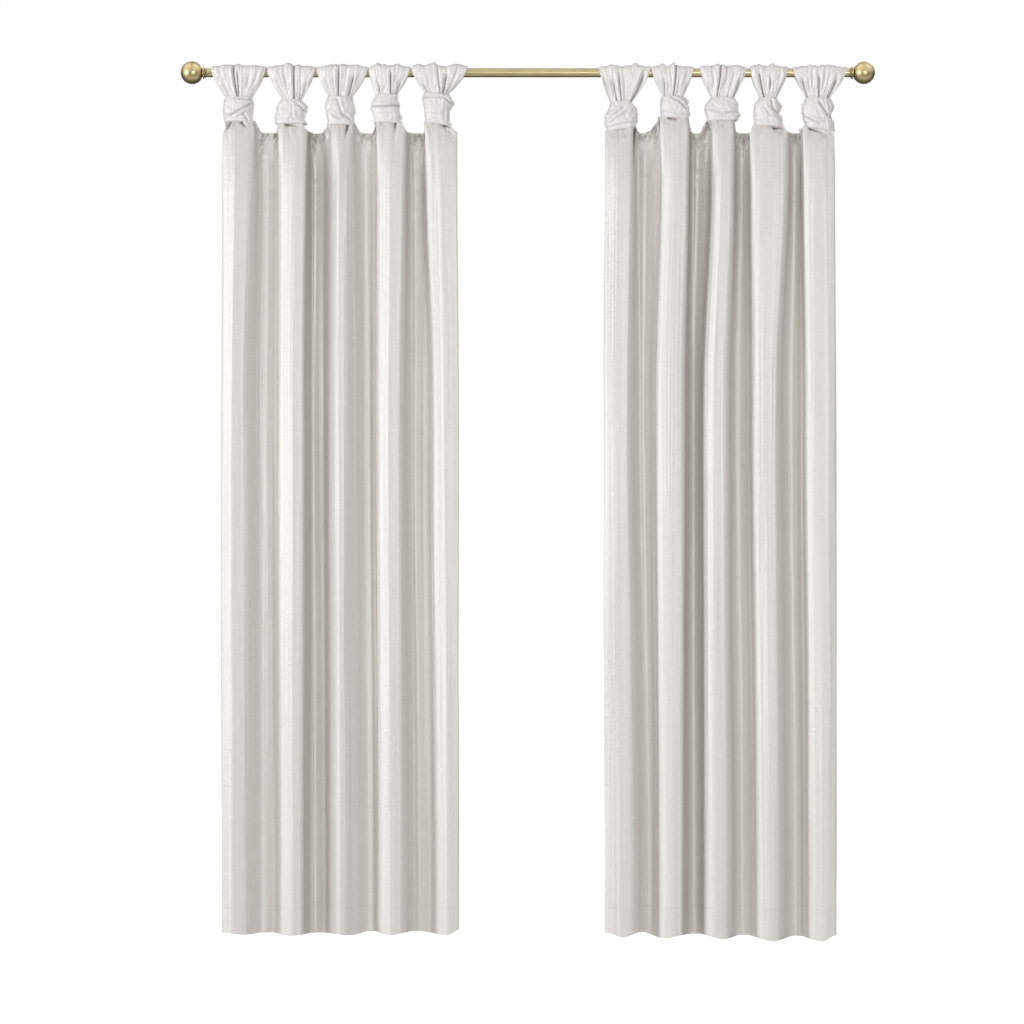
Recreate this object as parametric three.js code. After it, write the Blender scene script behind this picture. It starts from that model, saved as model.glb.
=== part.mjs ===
// Two knot-top curtain panels hang from one slim brass rod with a ball finial at each end.
// Millimetres, +Z up, +X to the viewer's right, and the viewer looks along +Y.
// The origin is on the rod's axis, half way between the finials.
import * as THREE from 'three';

// Rod and finials
const ROD_DIAMETER = 22;
const ROD_LENGTH = 1578;
const BALL_DIAMETER = 55;
const BALL_FROM_MIDDLE = 825;
const COLLAR_DIAMETER = 31;
const STEP_DIAMETER = 25;
const NECK_DIAMETER = 23;
const SPIGOT_DIAMETER = 10;
const SPIGOT_LENGTH = 20;
const SOCKET_CLEARANCE = 0.3;
const ROUND_STEPS = 20;

// Cloth
const CLOTH = 2;
const SEAT_GAP = 0.3;
const HEADING_Z = -148;
const HEM_Z = -2112;

// Heights where the folds' edges were set, and how they open out below the heading
const UPPER_Z = -240;
const MIDDLE_Z = -800;
const LOWER_Z = -2030;
const OPENING_LENGTH = 240;
const HEADING_FRONT = 19;
const HEADING_BACK = 3;
const WALL_SOFT = 26;
const SIDE_RETURN = 16;
const PIPE_RISE = [0.35, 0.85, 1, 1, 1, 1, 1, 0.85, 0.35];
const ROW_HEIGHTS = [-165, -190, -250, -380, -560, -800, -1400, -2030];

// Tabs and knots
const SEAM_HEIGHTS = [-190, -165];
const LOOP_ANGLES = [-10, 40, 90, 140, 190];
const PLEAT_HEIGHT = 5;
const FAN_DEPTH = 8;
const NECK_PLEAT = 1.5;
const NECK_BELLY = 3.5;
const NECK_EDGE = 1.35;
const HOLE_DEPTH = 8.2;
const HOLE_MARGIN = 2.5;
const KNOT_DEPTH = 25;
const KNOT_STEPS = 16;

const names = (columns, rows) => rows.map(
  (row) => Object.fromEntries(columns.map((column, k) => [column, row[k]])));

// Faces of the folds, from left to right: a pipe stands in front of the rod's axis and a valley's
// floor lies behind it. Each has both edges at three heights, its depth (a pipe's is negative),
// and how far the hem drops there below the common level.
const FACE_COLUMNS = ['leftTop', 'rightTop', 'leftMid', 'rightMid', 'leftHem', 'rightHem', 'depth', 'drop'];
const LEFT_FACES = names(FACE_COLUMNS, [
  [-747, -664, -750, -664, -752, -666, -32, 0],
  [-661, -637, -664, -642, -664, -642, 30, 1],
  [-615, -541, -617, -546, -620, -541, -33, 3],
  [-538, -521, -541, -523, -536, -518, 33, 3],
  [-497, -417, -502, -417, -500, -412, -35, 3],
  [-410, -393, -410, -393, -402, -383, 40, 0],
  [-375, -304, -377, -304, -375, -294, -34, 1],
  [-299, -281, -294, -272, -289, -269, 38, 0],
  [-262, -174, -255, -167, -252, -169, -34, 1],
]);
const RIGHT_FACES = names(FACE_COLUMNS, [
  [191, 260, 184, 257, 191, 267, -35, 7],
  [277, 302, 267, 287, 277, 294, 38, 3],
  [321, 397, 309, 389, 311, 387, -35, 9],
  [403, 422, 396, 418, 400, 418, 38, 6],
  [438, 507, 431, 500, 431, 507, -35, 10],
  [517, 536, 512, 531, 519, 539, 38, 9],
  [544, 634, 544, 617, 549, 632, -38, 14],
  [648, 665, 635, 657, 648, 670, 42, 11],
  [671, 752, 669, 754, 681, 754, -36, 15],
]);

// Tabs: the fan's edges on the rod, its neck's edges at the knot, the three deep pleats as a share
// of the half width, and which ridge stands highest over the rod and by how much
const TAB_COLUMNS = ['fanLeft', 'fanRight', 'neckLeft', 'neckRight', 'pleatA', 'pleatB', 'pleatC', 'ridge', 'peak'];
const LEFT_TABS = names(TAB_COLUMNS, [
  [-783, -651, -742, -678, -0.63, -0.09, 0.35, 3, 4],
  [-638, -528, -600, -559, -0.60, 0.11, 0.68, 3, 8],
  [-516, -398, -490, -432, -0.72, -0.23, 0.37, 5, 5],
  [-390, -292, -374, -322, -0.65, 0.05, 0.58, 1, 6],
  [-282, -152, -244, -194, -0.53, 0.08, 0.50, 3, 9],
]);
const RIGHT_TABS = names(TAB_COLUMNS, [
  [174, 300, 204, 255, -0.70, -0.15, 0.46, 5, 10],
  [309, 406, 331, 379, -0.60, 0.05, 0.50, 3, 6],
  [422, 534, 452, 506, -0.68, -0.14, 0.68, 5, 4],
  [549, 637, 568, 612, -0.45, 0.05, 0.60, 5, 7],
  [652, 781, 683, 745, -0.66, -0.05, 0.52, 5, 6],
]);

// Knots: the band's outer edges, its top, its lower edge at the left and right, the height that its
// diagonal crease gains from left to right, and the lobe that stands out at one side (left is negative)
const KNOT_COLUMNS = ['left', 'right', 'top', 'lowLeft', 'lowRight', 'slant', 'lobe'];
const LEFT_KNOTS = names(KNOT_COLUMNS, [
  [-749, -671, -61, -123, -122, 16, 2],
  [-618, -546, -67, -127, -128, -4, 7],
  [-496, -423, -59, -129, -131, -22, 2],
  [-384, -310, -54, -124, -126, 3, -5],
  [-258, -186, -52, -124, -133, -5, 8],
]);
const RIGHT_KNOTS = names(KNOT_COLUMNS, [
  [190, 269, -72, -148, -135, 24, 1],
  [325, 397, -59, -111, -116, -8, 2],
  [437, 519, -61, -121, -119, 6, -4],
  [555, 624, -63, -131, -135, -26, 5],
  [673, 750, -63, -134, -147, -18, 4],
]);

const brass = new THREE.MeshStandardMaterial({ color: 0xb09a66, roughness: 0.3, metalness: 1 });
const silk = new THREE.MeshStandardMaterial({ color: 0xd9d6d0, roughness: 0.45, side: THREE.DoubleSide });
const tabSilk = new THREE.MeshStandardMaterial({ color: 0xdedbd5, roughness: 0.45 });
const knotSilk = new THREE.MeshStandardMaterial({ color: 0xe8e6e2, roughness: 0.5 });

const { lerp, smoothstep } = THREE.MathUtils;
const point = (x, y, z) => new THREE.Vector3(x, y, z);

// A closed body from a list of corners and a list of triangles, turned so that it faces out
function solid(corners, triangles) {
  let volume = 0;
  for (const [a, b, c] of triangles) {
    volume += corners[a].dot(corners[b].clone().cross(corners[c]));
  }
  const facing = volume < 0 ? triangles.map(([a, b, c]) => [a, c, b]) : triangles;
  const geometry = new THREE.BufferGeometry().setFromPoints(corners);
  geometry.setIndex(facing.flat());
  geometry.computeVertexNormals();
  return geometry;
}

// The two triangles of one cell between points of two neighbouring rows
const cell = (a, b, c, d) => [[a, b, c], [a, c, d]];

// Cloth along rows of points: each point is moved half the cloth's thickness to either side
// of the surface, and the four edges are closed
function sheet(rows) {
  const across = rows[0].length;
  const down = rows.length;
  const corners = [];
  for (const side of [1, -1]) {
    rows.forEach((row, j) => row.forEach((place, i) => {
      const along = row[Math.min(i + 1, across - 1)].clone().sub(row[Math.max(i - 1, 0)]);
      const drop = rows[Math.min(j + 1, down - 1)][i].clone().sub(rows[Math.max(j - 1, 0)][i]);
      const out = along.cross(drop).normalize();
      corners.push(place.clone().addScaledVector(out, side * CLOTH / 2));
    }));
  }
  const at = (side, j, i) => side * across * down + j * across + i;
  const triangles = [];
  for (let j = 0; j < down - 1; j += 1) {
    for (let i = 0; i < across - 1; i += 1) {
      triangles.push(...cell(at(0, j, i), at(0, j + 1, i), at(0, j + 1, i + 1), at(0, j, i + 1)));
      triangles.push(...cell(at(1, j, i), at(1, j, i + 1), at(1, j + 1, i + 1), at(1, j + 1, i)));
    }
    for (const [near, i] of [[0, 0], [1, across - 1]]) {
      triangles.push(...cell(at(near, j, i), at(1 - near, j, i), at(1 - near, j + 1, i), at(near, j + 1, i)));
    }
  }
  for (let i = 0; i < across - 1; i += 1) {
    for (const [near, j] of [[1, 0], [0, down - 1]]) {
      triangles.push(...cell(at(near, j, i), at(1 - near, j, i), at(1 - near, j, i + 1), at(near, j, i + 1)));
    }
  }
  return solid(corners, triangles);
}

// A value given at the upper, middle and lower height, smooth in between
function atHeight(z, top, mid, hem) {
  if (z > MIDDLE_Z) {
    return lerp(top, mid, smoothstep(-z, -UPPER_Z, -MIDDLE_Z));
  }
  return lerp(mid, hem, smoothstep(-z, -MIDDLE_Z, -LOWER_Z));
}

// A corner of the fold line made soft: a parabola from one cut on the way in to one on the way out
function softCorner(before, corner, after, cutIn, cutOut, steps, first) {
  const start = corner.clone().add(before.clone().sub(corner).setLength(cutIn));
  const end = corner.clone().add(after.clone().sub(corner).setLength(cutOut));
  return new THREE.QuadraticBezierCurve(start, corner, end).getPoints(steps).slice(first);
}

// The fold line of a panel seen from above at one height: each face has two soft corners,
// and walls run back and forth between the pipes and the valleys
function foldLine(faces, z) {
  const open = smoothstep(-z, -HEADING_Z, -HEADING_Z + OPENING_LENGTH);
  const edges = faces.map((face) => {
    const y = lerp(face.depth < 0 ? -HEADING_FRONT : HEADING_BACK, face.depth, open);
    const left = atHeight(z, face.leftTop, face.leftMid, face.leftHem);
    const right = atHeight(z, face.rightTop, face.rightMid, face.rightHem);
    return [new THREE.Vector2(left, y), new THREE.Vector2(right, y)];
  });
  const sideY = lerp(HEADING_BACK, SIDE_RETURN, open);
  const start = new THREE.Vector2(edges[0][0].x + CLOTH, sideY);
  const end = new THREE.Vector2(edges.at(-1)[1].x - CLOTH, sideY);

  const line = [{ place: start, face: 0, share: 0 }];
  edges.forEach(([left, right], k) => {
    const before = k === 0 ? start : edges[k - 1][1];
    const after = k === edges.length - 1 ? end : edges[k + 1][0];
    const half = left.distanceTo(right) / 2;
    const soft = Math.min(WALL_SOFT, half);
    const pipe = faces[k].depth < 0;
    const steps = pipe ? 4 : 2;
    const cutIn = Math.min(pipe ? WALL_SOFT : soft, 0.45 * before.distanceTo(left));
    const cutOut = Math.min(pipe ? WALL_SOFT : soft, 0.45 * right.distanceTo(after));
    const round = [
      ...softCorner(before, left, right, cutIn, half, steps, 0),
      ...softCorner(left, right, after, half, cutOut, steps, 1),
    ];
    round.forEach((place, n) => line.push({ place, face: k, share: pipe ? PIPE_RISE[n] : 0 }));
  });
  line.push({ place: end, face: edges.length - 1, share: 0 });
  return line;
}

// A knot's lower edge at one place across it
const underKnot = (knot, x) => lerp(
  knot.lowLeft, knot.lowRight, THREE.MathUtils.clamp((x - knot.left) / (knot.right - knot.left), 0, 1));

// One panel: its top edge is straight in the valleys and climbs to the knot on each pipe,
// and its lower edge follows the drop of each fold
function panelSheet({ faces, knots }) {
  const top = foldLine(faces, HEADING_Z).map(({ place, face, share }) => {
    const low = face % 2 ? HEADING_Z : underKnot(knots[face / 2], place.x) - SEAT_GAP;
    return point(place.x, place.y, lerp(HEADING_Z, low, share));
  });
  const middle = ROW_HEIGHTS.map((z) => foldLine(faces, z).map(({ place }) => point(place.x, place.y, z)));
  const hem = foldLine(faces, HEM_Z).map(
    ({ place, face }) => point(place.x, place.y, HEM_Z - faces[face].drop));
  return sheet([top, ...middle, hem]);
}

// The seam of a tab on the back of its pipe: the pipe's own front line moved in by a few layers,
// with a point added half way along each stretch
function seamRow(faces, pipe, z, layers) {
  const front = foldLine(faces, z).filter((entry) => entry.face === 2 * pipe && entry.share === 1);
  const line = front.map(({ place }) => place);
  const inset = layers * (CLOTH + SEAT_GAP + 0.1);
  const moved = line.map((place, i) => {
    const along = line[Math.min(i + 1, line.length - 1)].clone().sub(line[Math.max(i - 1, 0)]);
    return point(place.x, place.y, z).add(point(-along.y, along.x, 0).setLength(inset));
  });
  return moved.flatMap((place, i) => (i === 0 ? [place] : [place.clone().lerp(moved[i - 1], 0.5), place]));
}

// One tab: a strip sewn inside its pipe, drawn together through the knot, spread in pleats
// over the rod and brought down again behind to the same seam
function tabSheet(panel, k) {
  const tab = panel.tabs[k];
  const knot = panel.knots[k];
  const cuts = [-1, tab.pleatA, tab.pleatB, tab.pleatC, 1];
  const places = cuts.flatMap((cut, n) => (n === 0 ? [cut] : [(cut + cuts[n - 1]) / 2, cut]));
  const ridge = places.map((_, n) => (n % 2) + (n === tab.ridge ? tab.peak / PLEAT_HEIGHT : 0));
  const between = (left, right, u) => lerp(left, right, (u + 1) / 2);

  const clearRadius = (ROD_DIAMETER / 2 + SEAT_GAP) / Math.cos(THREE.MathUtils.degToRad(25)) + CLOTH / 2;
  const loop = LOOP_ANGLES.map((degrees) => places.map((u, n) => {
    const angle = THREE.MathUtils.degToRad(degrees);
    const radius = clearRadius + PLEAT_HEIGHT * ridge[n];
    return point(between(tab.fanLeft, tab.fanRight, u), -radius * Math.cos(angle), radius * Math.sin(angle));
  }));

  const neck = (z, side) => places.map((u, n) => {
    const y = NECK_EDGE + NECK_BELLY * (1 - u * u) + NECK_PLEAT * (n % 2) * (1 - u * u);
    return point(between(tab.neckLeft, tab.neckRight, u), side * y, z);
  });
  const fan = (side) => places.map((u, n) => {
    const x = lerp(between(tab.neckLeft, tab.neckRight, u), between(tab.fanLeft, tab.fanRight, u), 0.47);
    return point(x, side * (FAN_DEPTH + 3 * (n % 2)), knot.top * 0.55);
  });
  const lowest = Math.min(knot.lowLeft, knot.lowRight);
  const half = (side, layers) => [
    seamRow(panel.faces, k, SEAM_HEIGHTS[0], layers),
    seamRow(panel.faces, k, SEAM_HEIGHTS[1], layers),
    neck(lowest - CLOTH, side),
    neck(knot.top + CLOTH, side),
    fan(side),
  ];
  return sheet([...half(-1, 1), ...loop, ...half(1, 2).reverse()]);
}

// One knot: a puffed band round the tab's neck, with a diagonal crease between its two wraps
function knotRing(panel, k) {
  const tab = panel.tabs[k];
  const knot = panel.knots[k];
  const holeX = (tab.neckLeft + tab.neckRight) / 2;
  const holeHalf = (tab.neckRight - tab.neckLeft) / 2 + HOLE_MARGIN;
  const bandX = (knot.left + knot.right) / 2;
  const bandHalf = (knot.right - knot.left) / 2;
  const corners = [];
  for (let s = 0; s < KNOT_STEPS; s += 1) {
    const angle = 2 * Math.PI * s / KNOT_STEPS;
    const across = Math.cos(angle);
    const low = underKnot(knot, bandX + bandHalf * across);
    const tall = knot.top - low;
    const lobe = Math.max(0, Math.sign(knot.lobe) * across) ** 4 * Math.abs(knot.lobe) / bandHalf;
    const crease = (knot.top + low) / 2 + knot.slant * across / 2;
    const ring = (share, z) => point(
      lerp(holeX + holeHalf * across, bandX + bandHalf * across, share),
      lerp(HOLE_DEPTH, KNOT_DEPTH, share) * Math.sin(angle), z);
    corners.push(
      ring(0, knot.top), ring(0.5, knot.top), ring(0.86, knot.top - 0.1 * tall),
      ring(1 + lobe, lerp(knot.top, crease, 0.55)), ring(0.8, crease),
      ring(1, lerp(crease, low, 0.45)), ring(0.9, low + 0.09 * tall), ring(0.66, low), ring(0, low));
  }
  const rim = corners.length / KNOT_STEPS;
  const at = (s, j) => (s % KNOT_STEPS) * rim + (j % rim);
  const triangles = [];
  for (let s = 0; s < KNOT_STEPS; s += 1) {
    for (let j = 0; j < rim; j += 1) {
      triangles.push(...cell(at(s, j), at(s, j + 1), at(s + 1, j + 1), at(s + 1, j)));
    }
  }
  return solid(corners, triangles);
}

// The rod with a blind socket in each end
function rodBar() {
  const radius = ROD_DIAMETER / 2;
  const socket = SPIGOT_DIAMETER / 2 + SOCKET_CLEARANCE;
  const end = ROD_LENGTH / 2;
  const floor = end - SPIGOT_LENGTH - 2;
  const outline = [[0, -floor], [socket, -floor], [socket, -end], [radius, -end],
    [radius, end], [socket, end], [socket, floor], [0, floor]];
  return new THREE.LatheGeometry(outline.map(([r, h]) => new THREE.Vector2(r, h)), ROUND_STEPS);
}

// A ball with a collar ring, a smaller step and a spigot; the height runs from the ball to the rod
function finial() {
  const radius = BALL_DIAMETER / 2;
  const collar = COLLAR_DIAMETER / 2;
  const step = STEP_DIAMETER / 2;
  const neck = NECK_DIAMETER / 2;
  const spigot = SPIGOT_DIAMETER / 2;
  const face = BALL_FROM_MIDDLE - ROD_LENGTH / 2 - SEAT_GAP;
  const ballEnd = 0.86;
  const outline = [];
  for (let n = 0; n <= 8; n += 1) {
    const angle = -Math.PI / 2 + n / 8 * (Math.PI / 2 + Math.asin(ballEnd));
    outline.push([n === 0 ? 0 : radius * Math.cos(angle), radius * Math.sin(angle)]);
  }
  outline.push([neck, face - 12.5], [collar, face - 11], [collar, face - 7.5], [neck, face - 6],
    [step, face - 5], [step, face - 2], [neck - 1, face], [spigot, face],
    [spigot, face + SPIGOT_LENGTH], [0, face + SPIGOT_LENGTH]);
  return new THREE.LatheGeometry(outline.map(([r, h]) => new THREE.Vector2(r, h)), ROUND_STEPS);
}

function named(name, geometry, material) {
  const mesh = new THREE.Mesh(geometry, material);
  mesh.name = name;
  return mesh;
}

// The rod lies along X; a finial's height axis turns to point at the middle of the rod
function hardware() {
  const group = new THREE.Group();
  const rod = named('rod', rodBar(), brass);
  rod.rotation.z = Math.PI / 2;
  group.add(rod);
  for (const [name, side] of [['finial_left', -1], ['finial_right', 1]]) {
    const ball = named(name, finial(), brass);
    ball.position.x = side * BALL_FROM_MIDDLE;
    ball.rotation.z = side * Math.PI / 2;
    group.add(ball);
  }
  return group;
}

// A panel with its five tabs and their knots
function curtain(side, panel) {
  const group = new THREE.Group();
  group.add(named(`panel_${side}`, panelSheet(panel), silk));
  panel.tabs.forEach((_, k) => {
    group.add(named(`tab_${side}_${k + 1}`, tabSheet(panel, k), tabSilk));
    group.add(named(`knot_${side}_${k + 1}`, knotRing(panel, k), knotSilk));
  });
  return group;
}

const curtains = new THREE.Group();
curtains.add(hardware());
curtains.add(curtain('left', {
  faces: LEFT_FACES, tabs: LEFT_TABS, knots: LEFT_KNOTS,
}));
curtains.add(curtain('right', {
  faces: RIGHT_FACES, tabs: RIGHT_TABS, knots: RIGHT_KNOTS,
}));

export default curtains;
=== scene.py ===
# %% [markdown]
# # A pair of knot-top curtains on a brass rod
#
# Two panels of silvery faux silk hang from one slim rod. Each panel has five tabs: a strip goes over
# the rod, is drawn together by a knot of the same cloth and runs on into a pipe fold of the panel.
# The construction model is loaded first as a fixed frame, and every piece below is worked out in
# that frame, so nothing is moved into place afterwards. Lengths in the tables are millimetres.

# %% The frame and the units
import math

import bmesh
import bpy
import numpy as np
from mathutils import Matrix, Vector


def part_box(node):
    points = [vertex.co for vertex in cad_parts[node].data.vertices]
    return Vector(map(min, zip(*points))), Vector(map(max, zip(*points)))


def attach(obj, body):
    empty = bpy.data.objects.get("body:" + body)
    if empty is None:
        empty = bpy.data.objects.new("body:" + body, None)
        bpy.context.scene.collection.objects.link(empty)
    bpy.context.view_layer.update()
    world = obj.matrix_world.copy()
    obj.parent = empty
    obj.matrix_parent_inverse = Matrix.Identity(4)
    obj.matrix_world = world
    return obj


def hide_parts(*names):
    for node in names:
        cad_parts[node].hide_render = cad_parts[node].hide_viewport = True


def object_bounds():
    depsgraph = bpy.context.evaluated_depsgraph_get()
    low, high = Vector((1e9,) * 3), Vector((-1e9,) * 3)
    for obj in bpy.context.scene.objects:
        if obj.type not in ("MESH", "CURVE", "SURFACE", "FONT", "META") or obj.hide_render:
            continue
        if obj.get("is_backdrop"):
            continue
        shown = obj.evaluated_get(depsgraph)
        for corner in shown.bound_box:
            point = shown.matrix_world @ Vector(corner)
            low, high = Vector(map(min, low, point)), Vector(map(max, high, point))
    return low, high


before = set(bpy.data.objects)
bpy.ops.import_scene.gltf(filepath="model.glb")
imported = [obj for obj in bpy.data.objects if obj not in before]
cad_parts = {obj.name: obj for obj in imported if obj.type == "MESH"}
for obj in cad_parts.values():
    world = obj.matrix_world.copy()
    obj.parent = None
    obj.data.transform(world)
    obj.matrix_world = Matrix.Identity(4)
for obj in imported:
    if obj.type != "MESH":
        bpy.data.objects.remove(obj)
MM = 0.001
cad_box = [list(corner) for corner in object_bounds()]
rod_low, rod_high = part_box("rod")
print("construction box", cad_box)

# %% [markdown]
# ## The camera
#
# A product picture of this kind is taken from a few metres away with a long lens, so that the
# folds hardly spread with perspective. The camera looks straight along +Y from half way down the
# curtain. It comes first, because every later choice of detail depends on how large things are seen.

# %% The camera
CAMERA_X, CAMERA_Z = -39.3 * MM, -1078.5 * MM
CAMERA_AWAY = 6.0
VIEW_WIDTH = 2514.6 * MM
SENSOR = 36.0

camera = bpy.data.objects.new("camera", bpy.data.cameras.new("camera"))
camera.data.sensor_width = SENSOR
camera.data.lens = SENSOR * CAMERA_AWAY / VIEW_WIDTH
camera.location = (CAMERA_X, -CAMERA_AWAY, CAMERA_Z)
camera.rotation_euler = (math.pi / 2, 0, 0)
bpy.context.scene.collection.objects.link(camera)
bpy.context.scene.camera = camera
print("lens", round(camera.data.lens, 1), "mm")

# %% [markdown]
# ## Node trees
#
# World, floor, cloth and brass are all made of nodes. Wired socket by socket such trees are long to
# read, so a few helpers come first: a node is added with its settings and the values of its inputs in
# one line, and a value may be a number, a colour or another node's output.

# %% Helpers for node trees
WHITE = (1, 1, 1, 1)


def feed(tree, inputs, values):
    """Gives input sockets their values, by name or number: plain values, or output sockets to link."""
    for key, value in values.items():
        if isinstance(value, bpy.types.NodeSocket):
            tree.links.new(value, inputs[key])
        else:
            inputs[key].default_value = value


def add(tree, kind, values=None, **settings):
    """A new node with its settings and the values of its inputs."""
    node = tree.nodes.new("ShaderNode" + kind)
    for key, value in settings.items():
        setattr(node, key, value)
    feed(tree, node.inputs, values or {})
    return node


def math_node(tree, operation, *values):
    """The output of a Math node."""
    return add(tree, "Math", dict(enumerate(values)), operation=operation).outputs[0]


def map_range(tree, value, start, end, at_start, at_end):
    """A value carried from start..end to at_start..at_end, and held at the ends beyond."""
    return add(tree, "MapRange", dict(enumerate((value, start, end, at_start, at_end)))).outputs[0]


def blend(tree, share, a, b, **settings):
    """The colour a share of the way from a to b."""
    values = {"Factor": share, "A": a, "B": b}
    return add(tree, "Mix", values, data_type="RGBA", **settings).outputs["Result"]


def ramp(tree, value, stops):
    """The grey of a value on a ramp through the (place, level) stops."""
    node = add(tree, "ValToRGB", {0: value})
    points = node.color_ramp.elements
    while len(points) < len(stops):
        points.new(0.5)
    for point, (place, level) in zip(points, stops):
        point.position, point.color = place, (level, level, level, 1)
    return node.outputs[0]


def new_material(name, values):
    """A material, its tree and its shader, whose own sockets get the values that are the same all over."""
    material = bpy.data.materials.new(name)
    material.use_nodes = True
    tree = material.node_tree
    shader = tree.nodes["Principled BSDF"]
    feed(tree, shader.inputs, values)
    return material, tree, shader


# %% [markdown]
# ## The studio
#
# The real thing was lit with a large soft light in front and to the left: each pipe fold is
# brightest left of its middle and greyer towards its right wall. A big area light gives that soft
# falloff, a small one fills from the right, one behind lights the backs, and a pale world lifts the
# shade inside the folds. A pale floor lies below the hem. The camera sees the world as plain white,
# and the cloth is lit by a dimmer one, so that the folds keep their contrast. Polished metal mirrors
# all that stands round it, so only for gloss the world has pale screens with dark gaps between them.

# %% The lamps
# One row for each lamp: place, the point it faces, size, watts and colour
LAMPS = {
    "key": ((-9.0, -5.9, -0.8), (0, 0, -1.1), 5.0, 536, (0.955, 0.972, 1.0)),
    "side": ((1.3, -5.6, -0.5), (0, 0, -1.1), 1.2, 67, (1, 1, 1)),
    "back": ((1.6, 4.0, 0.8), (0, 0, -0.9), 3.0, 100, (1, 1, 1)),
}


def area_light(name, place, aim, size, watts, colour):
    """A square lamp at place that faces the point aim."""
    lamp = bpy.data.lights.new(name, "AREA")
    lamp.shape, lamp.size, lamp.energy, lamp.color = "SQUARE", size, watts, colour
    item = bpy.data.objects.new(name, lamp)
    item.location = place
    item.rotation_euler = (Vector(aim) - Vector(place)).to_track_quat("-Z", "Y").to_euler()
    bpy.context.scene.collection.objects.link(item)


for name, row in LAMPS.items():
    area_light(name, *row)
bpy.context.scene.view_settings.view_transform = "Standard"
print("lamps", list(LAMPS))

# %% The world
# Grey levels that polished metal sees, as (place, level). The bands lie round the rod's axis: 0 is
# behind below, 0.25 straight down, 0.5 in front and 0.75 straight up. A pale screen stands at each
# side, where all three of its ramps, over |x|, z and y, are above 0.
METAL_BANDS = [(0, 0.08), (0.25, 0.15), (0.35, 0.6), (0.42, 0.42), (0.49, 0.40), (0.525, 0.56),
               (0.60, 0.52), (0.70, 0.48), (0.78, 0.46), (0.86, 0.28), (1.0, 0.06)]
SCREEN_BESIDE = [(0.04, 0), (0.14, 0.7), (0.60, 1)]
SCREEN_ABOVE = [(0.05, 0), (0.50, 0.5), (0.90, 1)]
SCREEN_AHEAD = [(0.15, 1), (0.65, 0)]
SCREEN_LEVEL = 1.2
# What lights the cloth softly: y of a direction in front and of one behind, and the levels there
CLOTH_SKY = (-0.7, 0.5, 0.42, 0.20)


def mirrored_studio(tree, axes):
    """What polished metal sees: the band at the angle round the rod's axis, plus the screens."""
    angle = math_node(tree, "ARCTAN2", axes["Z"], math_node(tree, "MULTIPLY", axes["Y"], -1.0))
    share = math_node(tree, "MULTIPLY_ADD", angle, 0.5 / math.pi, 0.5)
    beside = ramp(tree, math_node(tree, "ABSOLUTE", axes["X"]), SCREEN_BESIDE)
    screen = math_node(tree, "MULTIPLY", beside, ramp(tree, axes["Z"], SCREEN_ABOVE))
    screen = math_node(tree, "MULTIPLY", screen, ramp(tree, axes["Y"], SCREEN_AHEAD))
    return math_node(tree, "MULTIPLY_ADD", screen, SCREEN_LEVEL, ramp(tree, share, METAL_BANDS))


def white_world():
    """White for the camera; a grey that is brighter in front than behind for the cloth's soft light;
    and for gloss the screens and dark gaps of a studio."""
    world = bpy.data.worlds.new("studio")
    bpy.context.scene.world = world
    world.use_nodes = True
    tree = world.node_tree
    tree.nodes.clear()
    path = add(tree, "LightPath").outputs
    direction = add(tree, "TexCoord").outputs["Generated"]
    axes = add(tree, "SeparateXYZ", {0: direction}).outputs
    level = map_range(tree, axes["Y"], *CLOTH_SKY)
    strength = add(tree, "Mix", {0: path["Is Glossy Ray"], 2: level, 3: mirrored_studio(tree, axes)})
    fill = add(tree, "Background", {"Color": WHITE, "Strength": strength.outputs[0]})
    seen = add(tree, "Background", {"Color": WHITE})
    chosen = add(tree, "MixShader", {0: path["Is Camera Ray"], 1: fill.outputs[0], 2: seen.outputs[0]})
    add(tree, "OutputWorld", {0: chosen.outputs[0]})


white_world()
print("world", bpy.context.scene.world.name)

# %% The floor
FLOOR_BELOW_HEM = 0.42
FLOOR_HALF = 20.0
# The floor's painted reflection, glowing only for polished metal, as (place, level), where place is 0.75 +
# y / 8 m: pale in front of the curtain, and dark under and behind it as painted shade
FLOOR_NEAR, FLOOR_SHARE = 0.75, 0.125
FLOOR_PAINTED_REFLECTION = [(0.12, 0.32), (0.40, 0.36), (0.52, 0.75), (0.63, 0.80), (0.70, 0.50), (0.78, 0.24),
               (0.90, 0.10)]


def floor_material():
    """A pale floor. The camera sees it glowing as white as the world. Polished metal sees a painted
    reflection of it that glows pale in front of the curtain, and dark as painted shade under and behind it."""
    pale, tree, shader = new_material("pale_floor", {
        "Base Color": (0.86, 0.86, 0.85, 1), "Roughness": 0.9, "Emission Color": WHITE})
    path = add(tree, "LightPath").outputs
    spot = add(tree, "TexCoord").outputs["Object"]
    back = add(tree, "SeparateXYZ", {0: spot}).outputs["Y"]
    bands = ramp(tree, math_node(tree, "MULTIPLY_ADD", back, FLOOR_SHARE, FLOOR_NEAR), FLOOR_PAINTED_REFLECTION)
    painted_reflection = add(tree, "Emission", {"Color": bands}).outputs[0]
    feed(tree, shader.inputs, {"Emission Strength": path["Is Camera Ray"]})
    chosen = add(tree, "MixShader", {0: path["Is Glossy Ray"], 1: shader.outputs[0], 2: painted_reflection})
    feed(tree, tree.nodes["Material Output"].inputs, {0: chosen.outputs[0]})
    return pale


floor_z = cad_box[0][2] - FLOOR_BELOW_HEM
floor_mesh = bpy.data.meshes.new("floor")
corners = [(x * FLOOR_HALF, y * FLOOR_HALF, floor_z) for x, y in ((-1, -1), (1, -1), (1, 1), (-1, 1))]
floor_mesh.from_pydata(corners, [], [(0, 1, 2, 3)])
floor = bpy.data.objects.new("floor", floor_mesh)
bpy.context.scene.collection.objects.link(floor)
floor.data.materials.append(floor_material())
floor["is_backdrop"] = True
print("floor at", round(floor_z, 3))

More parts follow.
